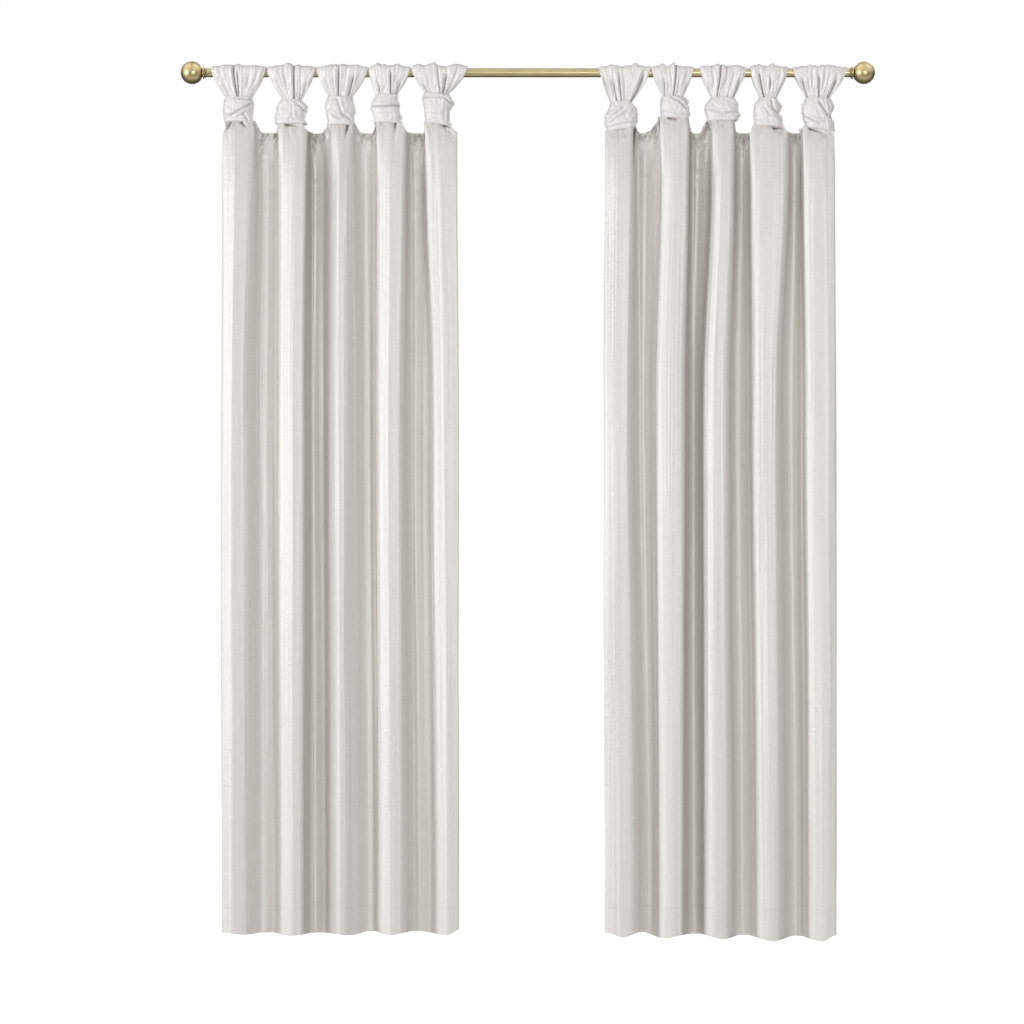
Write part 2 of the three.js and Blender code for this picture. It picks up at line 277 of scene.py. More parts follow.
# %% [markdown]
# ## Surfaces from grids
#
# Cloth is a surface, so every piece here is a grid of points, worked out as whole numpy arrays and
# handed to Blender in one go. A grid may close on itself, as a knot does round its neck, and it
# carries a map of its own in real metres, so that a weave follows the cloth round every fold.

# %% Helpers for grids
LATTICE = 512  # random heights each way, after which the noise repeats


def soft_step(t):
    """0 below 0, 1 above 1, and 3t² - 2t³ in between."""
    t = np.clip(t, 0, 1)
    return t * t * (3 - 2 * t)


def mix(a, b, t):
    """The point a share t of the way from a to b."""
    return a + (b - a) * t


def bell(off, wide, power=2):
    """e^-|off/wide|^power: 1 at off = 0 and next to nothing beyond about twice wide."""
    return np.exp(-np.abs(off / wide) ** power)


def uneven(a, b, seed):
    """Smooth noise from -1 to 1: random heights on a lattice with pitch 1, blended by soft_step."""
    heights = np.random.default_rng(seed).uniform(-1, 1, (LATTICE, LATTICE))
    low_a, low_b = np.floor(a).astype(int), np.floor(b).astype(int)
    part_a, part_b = soft_step(a - low_a), soft_step(b - low_b)
    corner = lambda i, j: heights[(low_a + i) % LATTICE, (low_b + j) % LATTICE]
    return mix(mix(corner(0, 0), corner(1, 0), part_a), mix(corner(0, 1), corner(1, 1), part_a), part_b)


def table(columns, rows, unit=MM):
    """Rows of numbers as one array for each named column."""
    return dict(zip(columns.split(), np.array(rows, float).T * unit))


def row_of(columns, k):
    """Row k of a table, by column. k may be an array of row numbers."""
    return {name: values[k] for name, values in columns.items()}


def normals_of(points):
    """Unit normals of a grid: the cross product of the steps across and down."""
    out = np.cross(np.gradient(points, axis=1), np.gradient(points, axis=0))
    return out / np.maximum(np.linalg.norm(out, axis=2, keepdims=True), 1e-12)


def stacked(*arrays):
    """Arrays that broadcast to one grid, as its last axis."""
    return np.stack(np.broadcast_arrays(*arrays), axis=-1)


# %% Grids as objects
def grid_object(name, points, place, painted_light_and_grime, round_rows=False, round_columns=False):
    """A mesh object from points (rows, columns, 3). place is its map in metres, with one more row or column
    than points where the grid closes on itself. Cells become four-cornered faces. The fourth argument is
    kept at each point and holds painted light and grime. On cloth it is painted shade, 1 at the bottom of a
    sharp fold and 0 on open cloth, and below 0 it is a painted highlight on a valley ridge's crest. On
    brass it is the grime in the grooves."""
    rows, columns = points.shape[:2]
    row, column = np.meshgrid(np.arange(rows - (not round_rows)),
                              np.arange(columns - (not round_columns)), indexing="ij")
    ring = [(row, column), (row + 1, column), (row + 1, column + 1), (row, column + 1)]
    faces = np.stack([(r % rows) * columns + c % columns for r, c in ring], axis=-1).reshape(-1, 4)
    uv = np.stack([place[r, c] for r, c in ring], axis=-2).reshape(-1, 2)
    mesh = bpy.data.meshes.new(name)
    mesh.vertices.add(rows * columns)
    mesh.vertices.foreach_set("co", points.astype(np.float32).ravel())
    mesh.loops.add(faces.size)
    mesh.loops.foreach_set("vertex_index", faces.astype(np.int32).ravel())
    mesh.polygons.add(len(faces))
    mesh.polygons.foreach_set("loop_start", np.arange(0, faces.size, 4, dtype=np.int32))
    mesh.uv_layers.new(name="cloth").data.foreach_set("uv", uv.astype(np.float32).ravel())
    # Painted shade and painted highlight of the cloth, and the grime in the brass grooves, kept at each
    # point for the materials
    kept = mesh.attributes.new("painted_light_and_grime", "FLOAT", "POINT")
    kept.data.foreach_set("value", np.clip(painted_light_and_grime, -1, 1).astype(np.float32).ravel())
    mesh.update(calc_edges=True)
    mesh.shade_smooth()
    item = bpy.data.objects.new(name, mesh)
    bpy.context.scene.collection.objects.link(item)
    return item


def thicken(item, thickness):
    """Gives a single surface its thickness, half to each side."""
    wall = item.modifiers.new("thickness", "SOLIDIFY")
    wall.thickness, wall.offset, wall.use_even_offset = thickness, 0, False


def face_out(item, weld=0.0):
    """Welds doubled points, such as a pole's, and turns the faces of a closed mesh outwards."""
    form = bmesh.new()
    form.from_mesh(item.data)
    if weld:
        bmesh.ops.remove_doubles(form, verts=form.verts, dist=weld)
    if form.calc_volume(signed=True) < 0:
        bmesh.ops.reverse_faces(form, faces=form.faces)
    form.to_mesh(item.data)
    form.free()


def finish(item, material, slot, *nodes):
    """Gives a piece its material, lets it ride on the root body, and has it stand for its solids, which are
    hidden. slot is not used.
    """
    item.data.materials.append(material)
    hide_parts(*nodes)
    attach(item, "root")
    return item


# %% [markdown]
# ## Cloth
#
# Faux silk is woven from smooth thread with thicker stretches, the slubs, that run across the
# panel. It is glossy like satin but the slubs break the gloss up, which shows as a beaded bright
# line in each valley. The effect is a node group, used by panels, tabs and knots: it reads the map
# in metres and puts out a height for the bump and a share for the colour. The colour and the
# roughness stay in each material.
#
# Deep folds are given painted shade, darker than a lamp alone makes them. The crest of the low ridge down
# each valley gets a painted highlight, which makes its bright line stronger. Both are worked out with the
# shape, kept at each point in an attribute, and read by the material.

# %% The weave
# Noises of the weave: pitch along the width, pitch down the cloth, and detail
SLUBS, THREAD, CRINKLE = (22 * MM, 1.3 * MM, 2), (0.5 * MM, 0.5 * MM, 1), (14 * MM, 7 * MM, 2)
WARP, RIBS = (4 * MM, 900 * MM, 2), (9 * MM, 800 * MM, 3)


def slub_group():
    """Height = crinkle + 0.25 · slubs + 0.06 · thread + 2 · ribs, and Tone = slubs + 0.8 · warp, all
    of them noises drawn out along the width or down the cloth."""
    group = bpy.data.node_groups.new("slub_weave", "ShaderNodeTree")
    for name, way, kind in (("Place", "INPUT", "Vector"), ("Height", "OUTPUT", "Float"),
                            ("Tone", "OUTPUT", "Float")):
        group.interface.new_socket(name, in_out=way, socket_type="NodeSocket" + kind)
    place = group.nodes.new("NodeGroupInput").outputs["Place"]
    end = group.nodes.new("NodeGroupOutput")

    def streaks(along, down, detail):
        """Noise stretched by its two pitches in metres."""
        scaled = add(group, "VectorMath", {0: place, 1: (1 / along, 1 / down, 1)}, operation="MULTIPLY")
        values = {"Vector": scaled.outputs[0], "Scale": 1, "Detail": detail}
        return add(group, "TexNoise", values, noise_dimensions="2D").outputs["Fac"]

    height, tone = streaks(*CRINKLE), streaks(*SLUBS)
    for noise, share in ((tone, 0.25), (streaks(*THREAD), 0.06), (streaks(*RIBS), 2.0)):
        height = math_node(group, "MULTIPLY_ADD", noise, share, height)
    tone = math_node(group, "MULTIPLY_ADD", streaks(*WARP), 0.8, tone)
    feed(group, end.inputs, {"Height": height, "Tone": tone})
    return group


slub_weave = slub_group()
print("group", slub_weave.name, [socket.name for socket in slub_weave.interface.items_tree])

# %% Silk
SATIN = {"Specular IOR Level": 0.5, "Metallic": 0.16, "Sheen Weight": 0.15, "Sheen Roughness": 0.45}
TONE_RANGE = (0.55, 1.25)  # the group's Tone at the dark and at the light colour
RELIEF = {"Strength": 1.0, "Distance": 0.6 * MM}
# The colour that painted shade in deep folds goes towards
PAINTED_SHADE_TINT = (0.15, 0.12, 0.09, 1)
HEM_DEPTH = 66 * MM
# The row of stitches above the hem: its colour and strength, and how far from its middle it starts
# to fade and is gone. From the middle of one stitch to the gap beside it, how far from a gap's middle
# the stitch starts and is full, and what is left of it in the gap.
STITCH_TINT, STITCH_SHADE, STITCH_BAND = (0.30, 0.28, 0.25, 1), 0.16, (0.4 * MM, 1.1 * MM)
HALF_STITCH, STITCH_GAP, GAP_SHARE = 1.6 * MM, (0.3 * MM, 0.6 * MM), 0.25


def stitch_row(tree, place, colour, height):
    """The colour, darker along a row of stitches: a band at one height above the hem, broken into
    dashes along the width."""
    axes = add(tree, "SeparateXYZ", {0: place}).outputs
    away = math_node(tree, "ABSOLUTE", math_node(tree, "SUBTRACT", axes["Y"], height))
    band = map_range(tree, away, *STITCH_BAND, STITCH_SHADE, 0)
    along = math_node(tree, "PINGPONG", axes["X"], HALF_STITCH)
    dash = map_range(tree, along, *STITCH_GAP, GAP_SHARE, 1)
    return blend(tree, math_node(tree, "MULTIPLY", band, dash), colour, STITCH_TINT)


def cloth(name, light, dark, roughness, stitched=0.0):
    """A satin cloth material: colour between dark and light by the group's Tone, bump by its Height. The
    share kept at each point takes the colour on towards the dark tint as painted shade, and away from it as
    a painted highlight where the share is below 0. stitched is the height above the hem of a row of
    stitches, in metres."""
    material, tree, skin = new_material(name, {"Roughness": roughness, **SATIN})
    place = add(tree, "UVMap", uv_map="cloth").outputs[0]
    weave = add(tree, "Group", {"Place": place}, node_tree=slub_weave).outputs
    colour = blend(tree, map_range(tree, weave["Tone"], *TONE_RANGE, 0, 1), (*dark, 1), (*light, 1))
    painted_light_and_grime = add(tree, "Attribute", attribute_name="painted_light_and_grime").outputs["Fac"]
    # Painted shade towards the dark tint by the kept share, and a painted highlight away from it where the
    # share is below 0
    colour = blend(tree, painted_light_and_grime, colour, PAINTED_SHADE_TINT, clamp_factor=False)
    if stitched:
        colour = stitch_row(tree, place, colour, stitched)
    relief = add(tree, "Bump", {**RELIEF, "Height": weave["Height"]})
    feed(tree, skin.inputs, {"Base Color": colour, "Normal": relief.outputs[0]})
    return material


# One cloth in three materials: the tabs and knots are painted lighter than the panels, as painted light for
# the brighter light they catch near the rod
panel_cloth = cloth("panel_silk", (0.81, 0.795, 0.75), (0.73, 0.705, 0.655), 0.43, HEM_DEPTH)
tab_cloth = cloth("tab_silk_painted_lighter", (0.91, 0.90, 0.88), (0.83, 0.815, 0.79), 0.45)
knot_cloth = cloth("knot_silk_painted_lighter", (0.905, 0.895, 0.875), (0.84, 0.825, 0.80), 0.5)
print("materials", [m.name for m in bpy.data.materials])

# %% [markdown]
# ## The panels
#
# A hung panel keeps nearly the same plan from top to bottom: seen from above, its cloth runs in
# pipes in front of the rod and valleys behind it. So the surface is a fold line in plan, carried
# down the height while its corners drift a little, as the tables say. A cloth simulation would
# find folds of its own; tables put each fold where it hangs on the real curtain.

# %% Sizes and fold tables of the panels
CLOTH = 1.6 * MM
HEADING_Z, HEM_Z = -148 * MM, -2112 * MM
UPPER_Z, MIDDLE_Z, LOWER_Z = -240 * MM, -800 * MM, -2030 * MM
OPENING_LENGTH = 150 * MM
HEADING_FRONT, HEADING_BACK = 19 * MM, 3 * MM
HEADING_OPEN = 0.25

# One row for each face of the fold line, pipes and valleys in turn. A pipe has a ridge a share of
# the way across, and a tuck is how far the wall beside it reaches back under its edge.
FACE_COLUMNS = ("left_top right_top left_mid right_mid left_hem right_hem depth "
                "ridge tuck_left tuck_right")
LEFT_FACES = table(FACE_COLUMNS, [
    [-748, -679, -750, -689, -750, -688, -32, 450, 0, 0],
    [-650, -611, -656, -613, -655, -607, 4, 0, 0, 0],
    [-614, -540, -617, -545, -611, -548, -33, 620, 10, 10],
    [-535, -502, -535, -502, -534, -497, 33, 0, 0, 0],
    [-481, -446, -484, -444, -479, -444, -35, 550, 3, -4],
    [-402, -369, -401, -371, -393, -365, 6, 0, 0, 0],
    [-373, -301, -375, -308, -369, -304, -34, 560, 10, 3],
    [-288, -251, -287, -236, -280, -224, 16, 0, 0, 0],
    [-254, -173, -240, -169, -228, -169, -34, 560, 8, 0],
])
RIGHT_FACES = table(FACE_COLUMNS, [
    [189, 256, 186, 249, 187, 263, -35, 550, 0, 2],
    [268, 325, 274, 314, 288, 320, 14, 0, 0, 0],
    [322, 394, 311, 384, 317, 380, -35, 640, 8, 12],
    [406, 449, 401, 429, 403, 432, 38, 0, 0, 0],
    [447, 503, 427, 488, 430, 493, -35, 480, 8, 6],
    [518, 544, 510, 548, 522, 559, 20, 0, 0, 0],
    [542, 634, 546, 610, 557, 618, -38, 640, 8, 3],
    [648, 673, 640, 678, 650, 686, 18, 0, 0, 0],
    [671, 750, 676, 752, 684, 753, -36, 640, 8, 0],
])
# The low ridge down each valley whose crest shines: its place at three heights, its height, how wide its
# right side is, and how much lighter its crest is painted, as a painted highlight, in thousandths
GLINT_COLUMNS = "glint_top glint_mid glint_hem high right_side sheen"
LEFT_GLINTS = table(GLINT_COLUMNS, [
    [-642, -645, -646, 8.0, 17, 0],
    [-527, -531, -527, 8.5, 13, 240],
    [-396, -393, -384, 4.5, 8, 40],
    [-279, -280, -268, 7.5, 19, 130],
])
RIGHT_GLINTS = table(GLINT_COLUMNS, [
    [286, 283, 295, 7.0, 17, 140],
    [416, 404, 408, 9.0, 14, 280],
    [520, 516, 528, 7.5, 17, 170],
    [654, 647, 657, 7.0, 16, 190],
])
# Where the heading rises from the valleys to each knot: foot and top of both slopes
SHOULDER_COLUMNS = "left_foot left_top right_top right_foot"
LEFT_SHOULDERS = table(SHOULDER_COLUMNS, [
    [-748, -738, -668, -651],
    [-617, -615, -553, -532],
    [-511, -491, -422, -407],
    [-384, -373, -308, -294],
    [-258, -252, -188, -173],
])
RIGHT_SHOULDERS = table(SHOULDER_COLUMNS, [
    [186, 190, 262, 277],
    [283, 324, 393, 402],
    [416, 437, 505, 512],
    [544, 551, 626, 639],
    [665, 675, 746, 754],
])
# The hem's outline as it shows from in front, from its lowest points to its highest
HEM_COLUMNS = "x z"
LEFT_HEM = table(HEM_COLUMNS, [
    [-754, -2112], [-700, -2117], [-639, -2110], [-580, -2120], [-518, -2111], [-437, -2118], [-383, -2107],
    [-340, -2118], [-273, -2107], [-199, -2118], [-169, -2106],
])
RIGHT_HEM = table(HEM_COLUMNS, [
    [193, -2112], [233, -2124], [278, -2110], [336, -2126], [410, -2113], [481, -2128], [528, -2116],
    [603, -2134], [657, -2118], [724, -2134], [755, -2119],
])
SIDE_DEPTHS = {"left": (-14 * MM, -24 * MM), "right": (-14 * MM, -26 * MM)}


# %% The corners of the fold line
# How much of the legs to its two neighbours a bend rounds off, and in how many steps
BENDS = {"tuck": (0.40, 0.40, 5), "left": (0.55, 0.84, 20), "ridge": (0.14, 0.18, 7),
         "right": (0.40, 0.55, 11), "valley_left": (0.24, 0.16, 8), "valley_right": (0.16, 0.30, 5)}
SPACING = 2.7 * MM
LEFT_EASE, RIDGE_PROUD, RIGHT_EASE, VALLEY_FALL = 13 * MM, 1 * MM, 2 * MM, 5 * MM
SIDE_IN = 2 * MM


def at_height(z, places, edge):
    """An edge's place at each height: top to mid to hem value, soft steps in between."""
    top, mid, hem = (places[f"{edge}_{level}"] for level in ("top", "mid", "hem"))
    upper = soft_step((z - UPPER_Z) / (MIDDLE_Z - UPPER_Z))[:, None]
    lower = soft_step((z - MIDDLE_Z) / (LOWER_Z - MIDDLE_Z))[:, None]
    return mix(mix(top, mid, upper), hem, lower)


def bends_of(faces, z, side_depths):
    """The corners of the fold line at the heights z, as (rows, corners, 2), and their kinds. A pipe
    has its left corner eased back, a ridge and a right corner; a tuck lies half way along each wall,
    moved under the pipe. The folds are flatter at the heading and open below it."""
    opening = soft_step(HEADING_OPEN + (1 - HEADING_OPEN) * (HEADING_Z - z) / OPENING_LENGTH)
    left, right = at_height(z, faces, "left"), at_height(z, faces, "right")
    first, last = (mix(HEADING_BACK, depth, opening) for depth in side_depths)
    corners = [(left[:, 0] + SIDE_IN, first, "end", 0)]
    for k, depth in enumerate(faces["depth"]):
        if depth > 0:
            y = mix(HEADING_BACK, depth, opening)
            corners += [(left[:, k], y, "valley_left", k),
                        (right[:, k], y + VALLEY_FALL * opening, "valley_right", k)]
            continue
        y = mix(-HEADING_FRONT, depth, opening)
        crest = mix(left[:, k], right[:, k], faces["ridge"][k])
        corners += [(left[:, k], y + LEFT_EASE * opening, "left", k),
                    (crest, y - RIDGE_PROUD * opening, "ridge", k),
                    (right[:, k], y + RIGHT_EASE * opening, "right", k)]
    corners.append((right[:, -1] - SIDE_IN, last, "end", k))
    out = [corners[0]]
    for before, after in zip(corners, corners[1:]):
        for (*_, kind, k), edge, way in ((after, "left", 1), (before, "right", -1)):
            if kind == edge:
                shift = way * faces[f"tuck_{edge}"][k] * opening
                out.append(((before[0] + after[0]) / 2 + shift, (before[1] + after[1]) / 2, "tuck"))
        out.append(after)
    return np.stack([stacked(*corner[:2]) for corner in out], axis=1), [corner[2] for corner in out]


print("faces of each fold line", len(LEFT_FACES["depth"]), len(RIGHT_FACES["depth"]))

# %% The fold line
def steps_between(a, b, least):
    """So many steps from a to b that none is longer than SPACING at any height."""
    return max(least, math.ceil(float(np.hypot(*(a - b).T).max()) / SPACING))


def leg(a, b):
    """The points between a and b on a straight leg."""
    t = np.linspace(0, 1, steps_between(a, b, 2) + 1)[1:-1, None]
    return mix(a[:, None], b[:, None], t)


def bend(start, corner, end, least):
    """A bend as the parabola (1-t)²·start + 2t(1-t)·corner + t²·end."""
    t = np.linspace(0, 1, steps_between(start, end, least) + 1)[:, None]
    return (1 - t) ** 2 * start[:, None] + 2 * t * (1 - t) * corner[:, None] + t ** 2 * end[:, None]


def fold_line(faces, z, side_depths):
    """The plan of a panel at the heights z, as (rows, points, 2): bends with straight legs between."""
    corners, kinds = bends_of(faces, z, side_depths)
    last, end = corners[:, 0], corners[:, -1]
    line = [last[:, None]]
    for n, kind in enumerate(kinds[1:-1], 1):
        before, corner, after = (corners[:, n + k] for k in (-1, 0, 1))
        cut_in, cut_out, least = BENDS[kind]
        start, stop = mix(corner, before, cut_in), mix(corner, after, cut_out)
        line += [leg(last, start), bend(start, corner, stop, least)]
        last = stop
    return np.concatenate(line + [leg(last, end), end[:, None]], axis=1)


hem_line = fold_line(LEFT_FACES, np.array([HEM_Z]), SIDE_DEPTHS["left"])
print("points along the left panel's hem, spaced by their longest row", hem_line.shape[1])

# %% [markdown]
# ### What the cloth does between its folds
#
# At the heading the cloth is gathered, so its valleys pucker for a few centimetres. Under each knot
# the pipe is drawn together and creases run down from it. Further down, long faint ripples follow
# the pipes, and the walls waver. Each effect is a height added along the cloth's normal.

# %% Creases under the knots
CREASE_COLUMNS = "x0 z0 x1 z1 deep wide"
LEFT_CREASES = table(CREASE_COLUMNS, [
    [-729, -124, -741, -147, 5.5, 4],
    [-702, -123, -688, -138, 5.5, 4],
    [-672, -124, -664, -148, 3.5, 3.5],
    [-594, -129, -567, -131, 6.5, 3],
    [-590, -133, -578, -168, 2.5, 5],
    [-566, -132, -570, -200, 1.5, 8],
    [-443, -131, -446, -160, 6.5, 4.5],
    [-446, -160, -452, -420, 2.0, 7],
    [-483, -133, -488, -160, 3.0, 4],
    [-325, -124, -325, -150, 6.0, 4],
    [-325, -150, -329, -185, 2.5, 5],
    [-352, -128, -348, -190, 1.2, 7],
    [-207, -130, -187, -137, 6.5, 3.2],
    [-204, -134, -186, -168, 3.0, 4.5],
    [-192, -146, -178, -164, 3.0, 5],
    [-230, -130, -238, -200, 1.2, 7],
])
RIGHT_CREASES = table(CREASE_COLUMNS, [
    [262, -140, 260, -240, 5.0, 3.5],
    [222, -150, 218, -260, 1.0, 8],
    [344, -113, 362, -115, 6.5, 3],
    [352, -118, 346, -190, 1.2, 7],
    [376, -122, 370, -200, 1.2, 7],
    [437, -123, 449, -122, 5.5, 3],
    [447, -125, 446, -260, 3.5, 3.5],
    [480, -126, 484, -210, 1.0, 8],
    [602, -137, 626, -138, 6.5, 3],
    [604, -142, 626, -152, 2.5, 4],
    [574, -134, 566, -200, 1.4, 6],
    [690, -139, 724, -150, 6.5, 3],
    [712, -156, 700, -260, 1.6, 9],
    [735, -156, 748, -200, 1.2, 8],
])


CREASE_FADES = 0.6  # so much of a crease's depth is lost from its first end to its second


def crease_field(x, z, creases):
    """The depth of the deepest crease at the points (x, z): for each, deep · e^-(distance/wide)² from
    its segment, less deep towards its second end."""
    total = np.zeros_like(x)
    for x0, z0, x1, z1, deep, wide in zip(*creases.values()):
        step = np.array([x1 - x0, z1 - z0])
        along = ((x - x0) * step[0] + (z - z0) * step[1]) / (step @ step)
        t = np.clip(along, 0, 1)
        away = np.hypot(x - x0 - t * step[0], z - z0 - t * step[1])
        total = np.maximum(total, deep * np.exp(-(away / wide) ** 2) * (1 - CREASE_FADES * t))
    return total


print("creases under the knots", len(LEFT_CREASES["deep"]), len(RIGHT_CREASES["deep"]))


# %% [markdown]
# ### How a panel meets its knots and its hem
#
# The heading is drawn up into each knot, and the hem is a slightly wavy line. Both are moves of the rows up
# or down, which fade out further away. The painted shade in the cracks beside the pipes is a field of its
# own. So is the low shining ridge down each valley, with a painted highlight on its crest, so that each can
# be set on its own.

# %% Heading and hem
KNOT_COLUMNS = "left right top low_left low_right"
LEFT_KNOTS = table(KNOT_COLUMNS, [
    [-749, -671, -61, -123, -122],
    [-618, -546, -67, -127, -128],
    [-496, -423, -59, -129, -131],
    [-384, -310, -54, -124, -126],
    [-258, -186, -52, -124, -133],
])
RIGHT_KNOTS = table(KNOT_COLUMNS, [
    [190, 269, -72, -148, -135],
    [325, 397, -59, -111, -116],
    [437, 519, -61, -121, -119],
    [555, 624, -63, -131, -135],
    [673, 750, -63, -134, -147],
])
KNOTS_EACH = len(LEFT_KNOTS["top"])
RISE_POWER, RISE_FADE, RISE_INTO_KNOT = 1.8, 100 * MM, 2 * MM


def under_knots(x, knots, shoulders):
    """For each place x along the heading: a share lift, from 0 in the valleys to 1 under a knot, and
    the height of the knot's lower edge."""
    borders = (shoulders["right_foot"][:-1] + shoulders["left_foot"][1:]) / 2
    near = row_of({**shoulders, **knots}, np.clip(np.searchsorted(borders, x), 0, KNOTS_EACH - 1))
    across = np.clip((x - near["left"]) / (near["right"] - near["left"]), 0, 1)
    up = np.clip((x - near["left_foot"]) / (near["left_top"] - near["left_foot"]), 0, 1)
    down = np.clip((near["right_foot"] - x) / (near["right_foot"] - near["right_top"]), 0, 1)
    return (up * down) ** RISE_POWER, mix(near["low_left"], near["low_right"], across)


def hem_fall(x, y, outline):
    """How far the hem hangs below HEM_Z at each point, so that its outline from in front is the
    table's. A point further back by y shows higher, by its share of the camera's distance."""
    near = 1 + y / CAMERA_AWAY
    seen = CAMERA_X + (x - CAMERA_X) / near
    left = np.clip(np.searchsorted(outline["x"], seen) - 1, 0, len(outline["x"]) - 2)
    share = (seen - outline["x"][left]) / (outline["x"][left + 1] - outline["x"][left])
    level = mix(outline["z"][left], outline["z"][left + 1], soft_step(share))
    return HEM_Z - (CAMERA_Z + (level - CAMERA_Z) * near)


print("knots on each panel", KNOTS_EACH)

# %% Painted shade and painted highlight
# Painted shade in the cracks beside the pipes, which only cloth behind the pipes' fronts gets
FRONTS_END, FRONTS_FADE = -22 * MM, 8 * MM  # no shade on the pipes' fronts, before this
# The painted shade in the crack beside a pipe's right edge: its place from edge to foot, its width, and how
# much wider it is under the pipe where the cloth is tucked in; how dark it is painted at the heading and at
# a tuck
CRACK_PLACE, CRACK_WIDE, CRACK_SHARE, CRACK_UNDER = 0.42, 2 * MM, 0.14, 3
CRACK_HIGH, CRACK_LENGTH, CRACK_TUCKED, FULL_TUCK = 0.24, 380 * MM, 0.26, 10 * MM
# The painted shade before the next pipe's left edge
LEAN_OFF, LEAN_WIDE, LEAN_PAINTED_SHADE, LEAN_NONE = 8 * MM, 5 * MM, 0.34, 45 * MM
# The ridge down a valley: where it starts and how it grows, its beads, its left side, and the width of the
# painted highlight on its crest
RIDGE_START, RIDGE_GROWTH, BEAD_PITCH, BEAD_SHARE = 10 * MM, 60 * MM, 9 * MM, 0.22
RIDGE_LEFT_SIDE, CREST_WIDE = 10 * MM, 3.4 * MM


def painted_crack_shade(x, y, z, faces):
    """How much painted shade a point gets in the cracks beside the pipes, as bells over two lines behind
    the pipes' fronts. One is between a pipe's right edge and the next valley, strongest near the heading
    and where the cloth is tucked under. One is just before the next pipe's left edge, stronger the
    shallower the valley, as there the pipe leans over it."""
    right, left = at_height(z, faces, "right"), at_height(z, faces, "left")
    shade = np.zeros_like(x)
    behind = soft_step((y - FRONTS_END) / FRONTS_FADE)
    high = bell(HEADING_Z - z, CRACK_LENGTH)[:, None]
    for k in range(0, len(faces["depth"]) - 1, 2):
        edge, foot, next_pipe = right[:, k:k + 1], left[:, k + 1:k + 2], left[:, k + 2:k + 3]
        tucked = np.clip(faces["tuck_right"][k] / FULL_TUCK, 0, 1)
        off = x - mix(edge, foot, CRACK_PLACE)
        wide = CRACK_WIDE + CRACK_SHARE * np.maximum(foot - edge, 0)
        wide = wide * np.where(off < 0, 1 + CRACK_UNDER * tucked, 1)
        crack = bell(off, wide) * (CRACK_HIGH * high + CRACK_TUCKED * tucked)
        shallow = 1 - faces["depth"][k + 1] / LEAN_NONE
        lean = bell(x - next_pipe + LEAN_OFF, LEAN_WIDE) * LEAN_PAINTED_SHADE * shallow
        shade = np.maximum(shade, np.maximum(crack, lean) * behind)
    return shade


def glint_ridge(x, z, glints, below, seed):
    """The height of the low ridges in the valleys: high · e^-(distance/side)², steeper on the left, uneven
    down the cloth, growing from under the puckers. And the painted highlight on their crests, how much
    lighter the colour is painted there: the table's lightening · e^-(distance/CREST_WIDE)²."""
    total, crest = np.zeros_like(x), np.zeros_like(x)
    grown = soft_step((below - RIDGE_START) / RIDGE_GROWTH)
    for k, place in enumerate(at_height(z, glints, "glint").T):
        off = x - place[:, None]
        beads = (1 + BEAD_SHARE * uneven(below / BEAD_PITCH, 0 * below + k, seed)) * grown
        side = np.where(off < 0, RIDGE_LEFT_SIDE, glints["right_side"][k])
        total += glints["high"][k] * beads * bell(off, side)
        crest += glints["sheen"][k] * beads * bell(off, CREST_WIDE)
    return total, crest


print("ridges", len(LEFT_GLINTS["high"]), len(RIGHT_GLINTS["high"]))

# %% Wrinkles
# The cloth's unevenness, in millimetres, one row for each kind: its pitch along the width, how far
# down its lines run until they have moved by one such pitch (inf: straight down), its pitch down the
# cloth, and what is added to the panel's seed
WAVES = {
    "stroke": (8.5, 13, 26, 0), "crossing": (10, -19, 17, 6), "length": (9, math.inf, math.inf, 5),
    "gather": (11, math.inf, 90, 1), "ripple": (17, math.inf, 620, 2), "waver": (60, math.inf, 420, 3),
    "crinkle": (9, math.inf, 13, 4), "crumple": (6, -22, 9, 7), "cross_crumple": (11, 30, 16, 8),
}
# Puckers at the heading: how far they reach down, the mean and the spread of that as shares, and how fast
# they end; their heights in millimetres; and half widths of their lines of painted shade, as shares
PUCKER_LENGTH, PUCKER_MEAN, PUCKER_SPREAD, PUCKER_END = 26 * MM, 1.2, 0.8, 1.7
STROKE_HIGH, CROSSING_HIGH, SHARPNESS, PUCKER_LEVEL = 12, 6, 0.8, 0.4
STROKE_LINE, CROSSING_LINE, CROSSING_DARK = 0.20, 0.18, 0.7
# The other waves: height in millimetres, and how far below the heading they fade in or out
GATHER_HIGH, GATHER_FADE, RIPPLE_HIGH, RIPPLE_START = 1.2, 75 * MM, 0.75, 120 * MM
WAVER_HIGH, WAVER_START, CRINKLE_HIGH = 1.6, 200 * MM, 0.22


def waves_of(width, below, seed):
    """A function that gives a kind of wave over a panel's map."""
    def wave(kind):
        along, run, down, own = WAVES[kind]
        return uneven(width / (along * MM) + below / (run * MM), below / (down * MM), seed + own)
    return wave


def puckers(wave, below, share):
    """The gathers under the heading in millimetres, and how much painted shade their lines get. With
    gathered = share · e^-(below/length)^1.7 and an uneven length, height = gathered · (12 · sharp(stroke) +
    6 · sharp(crossing)), where sharp(n) = |n|^0.8 - 0.4 has its narrow bottoms where n = 0. The lines of
    painted shade are bells over the same bottoms."""
    sharp = lambda n: np.abs(n) ** SHARPNESS - PUCKER_LEVEL
    stroke, crossing = wave("stroke"), wave("crossing")
    length = PUCKER_LENGTH * (PUCKER_MEAN + PUCKER_SPREAD * wave("length"))
    gathered = bell(below, length, PUCKER_END) * share
    lines = bell(stroke, STROKE_LINE) + CROSSING_DARK * bell(crossing, CROSSING_LINE)
    height = STROKE_HIGH * sharp(stroke) + CROSSING_HIGH * sharp(crossing)
    return height * gathered, np.clip(lines, 0, 1) * gathered


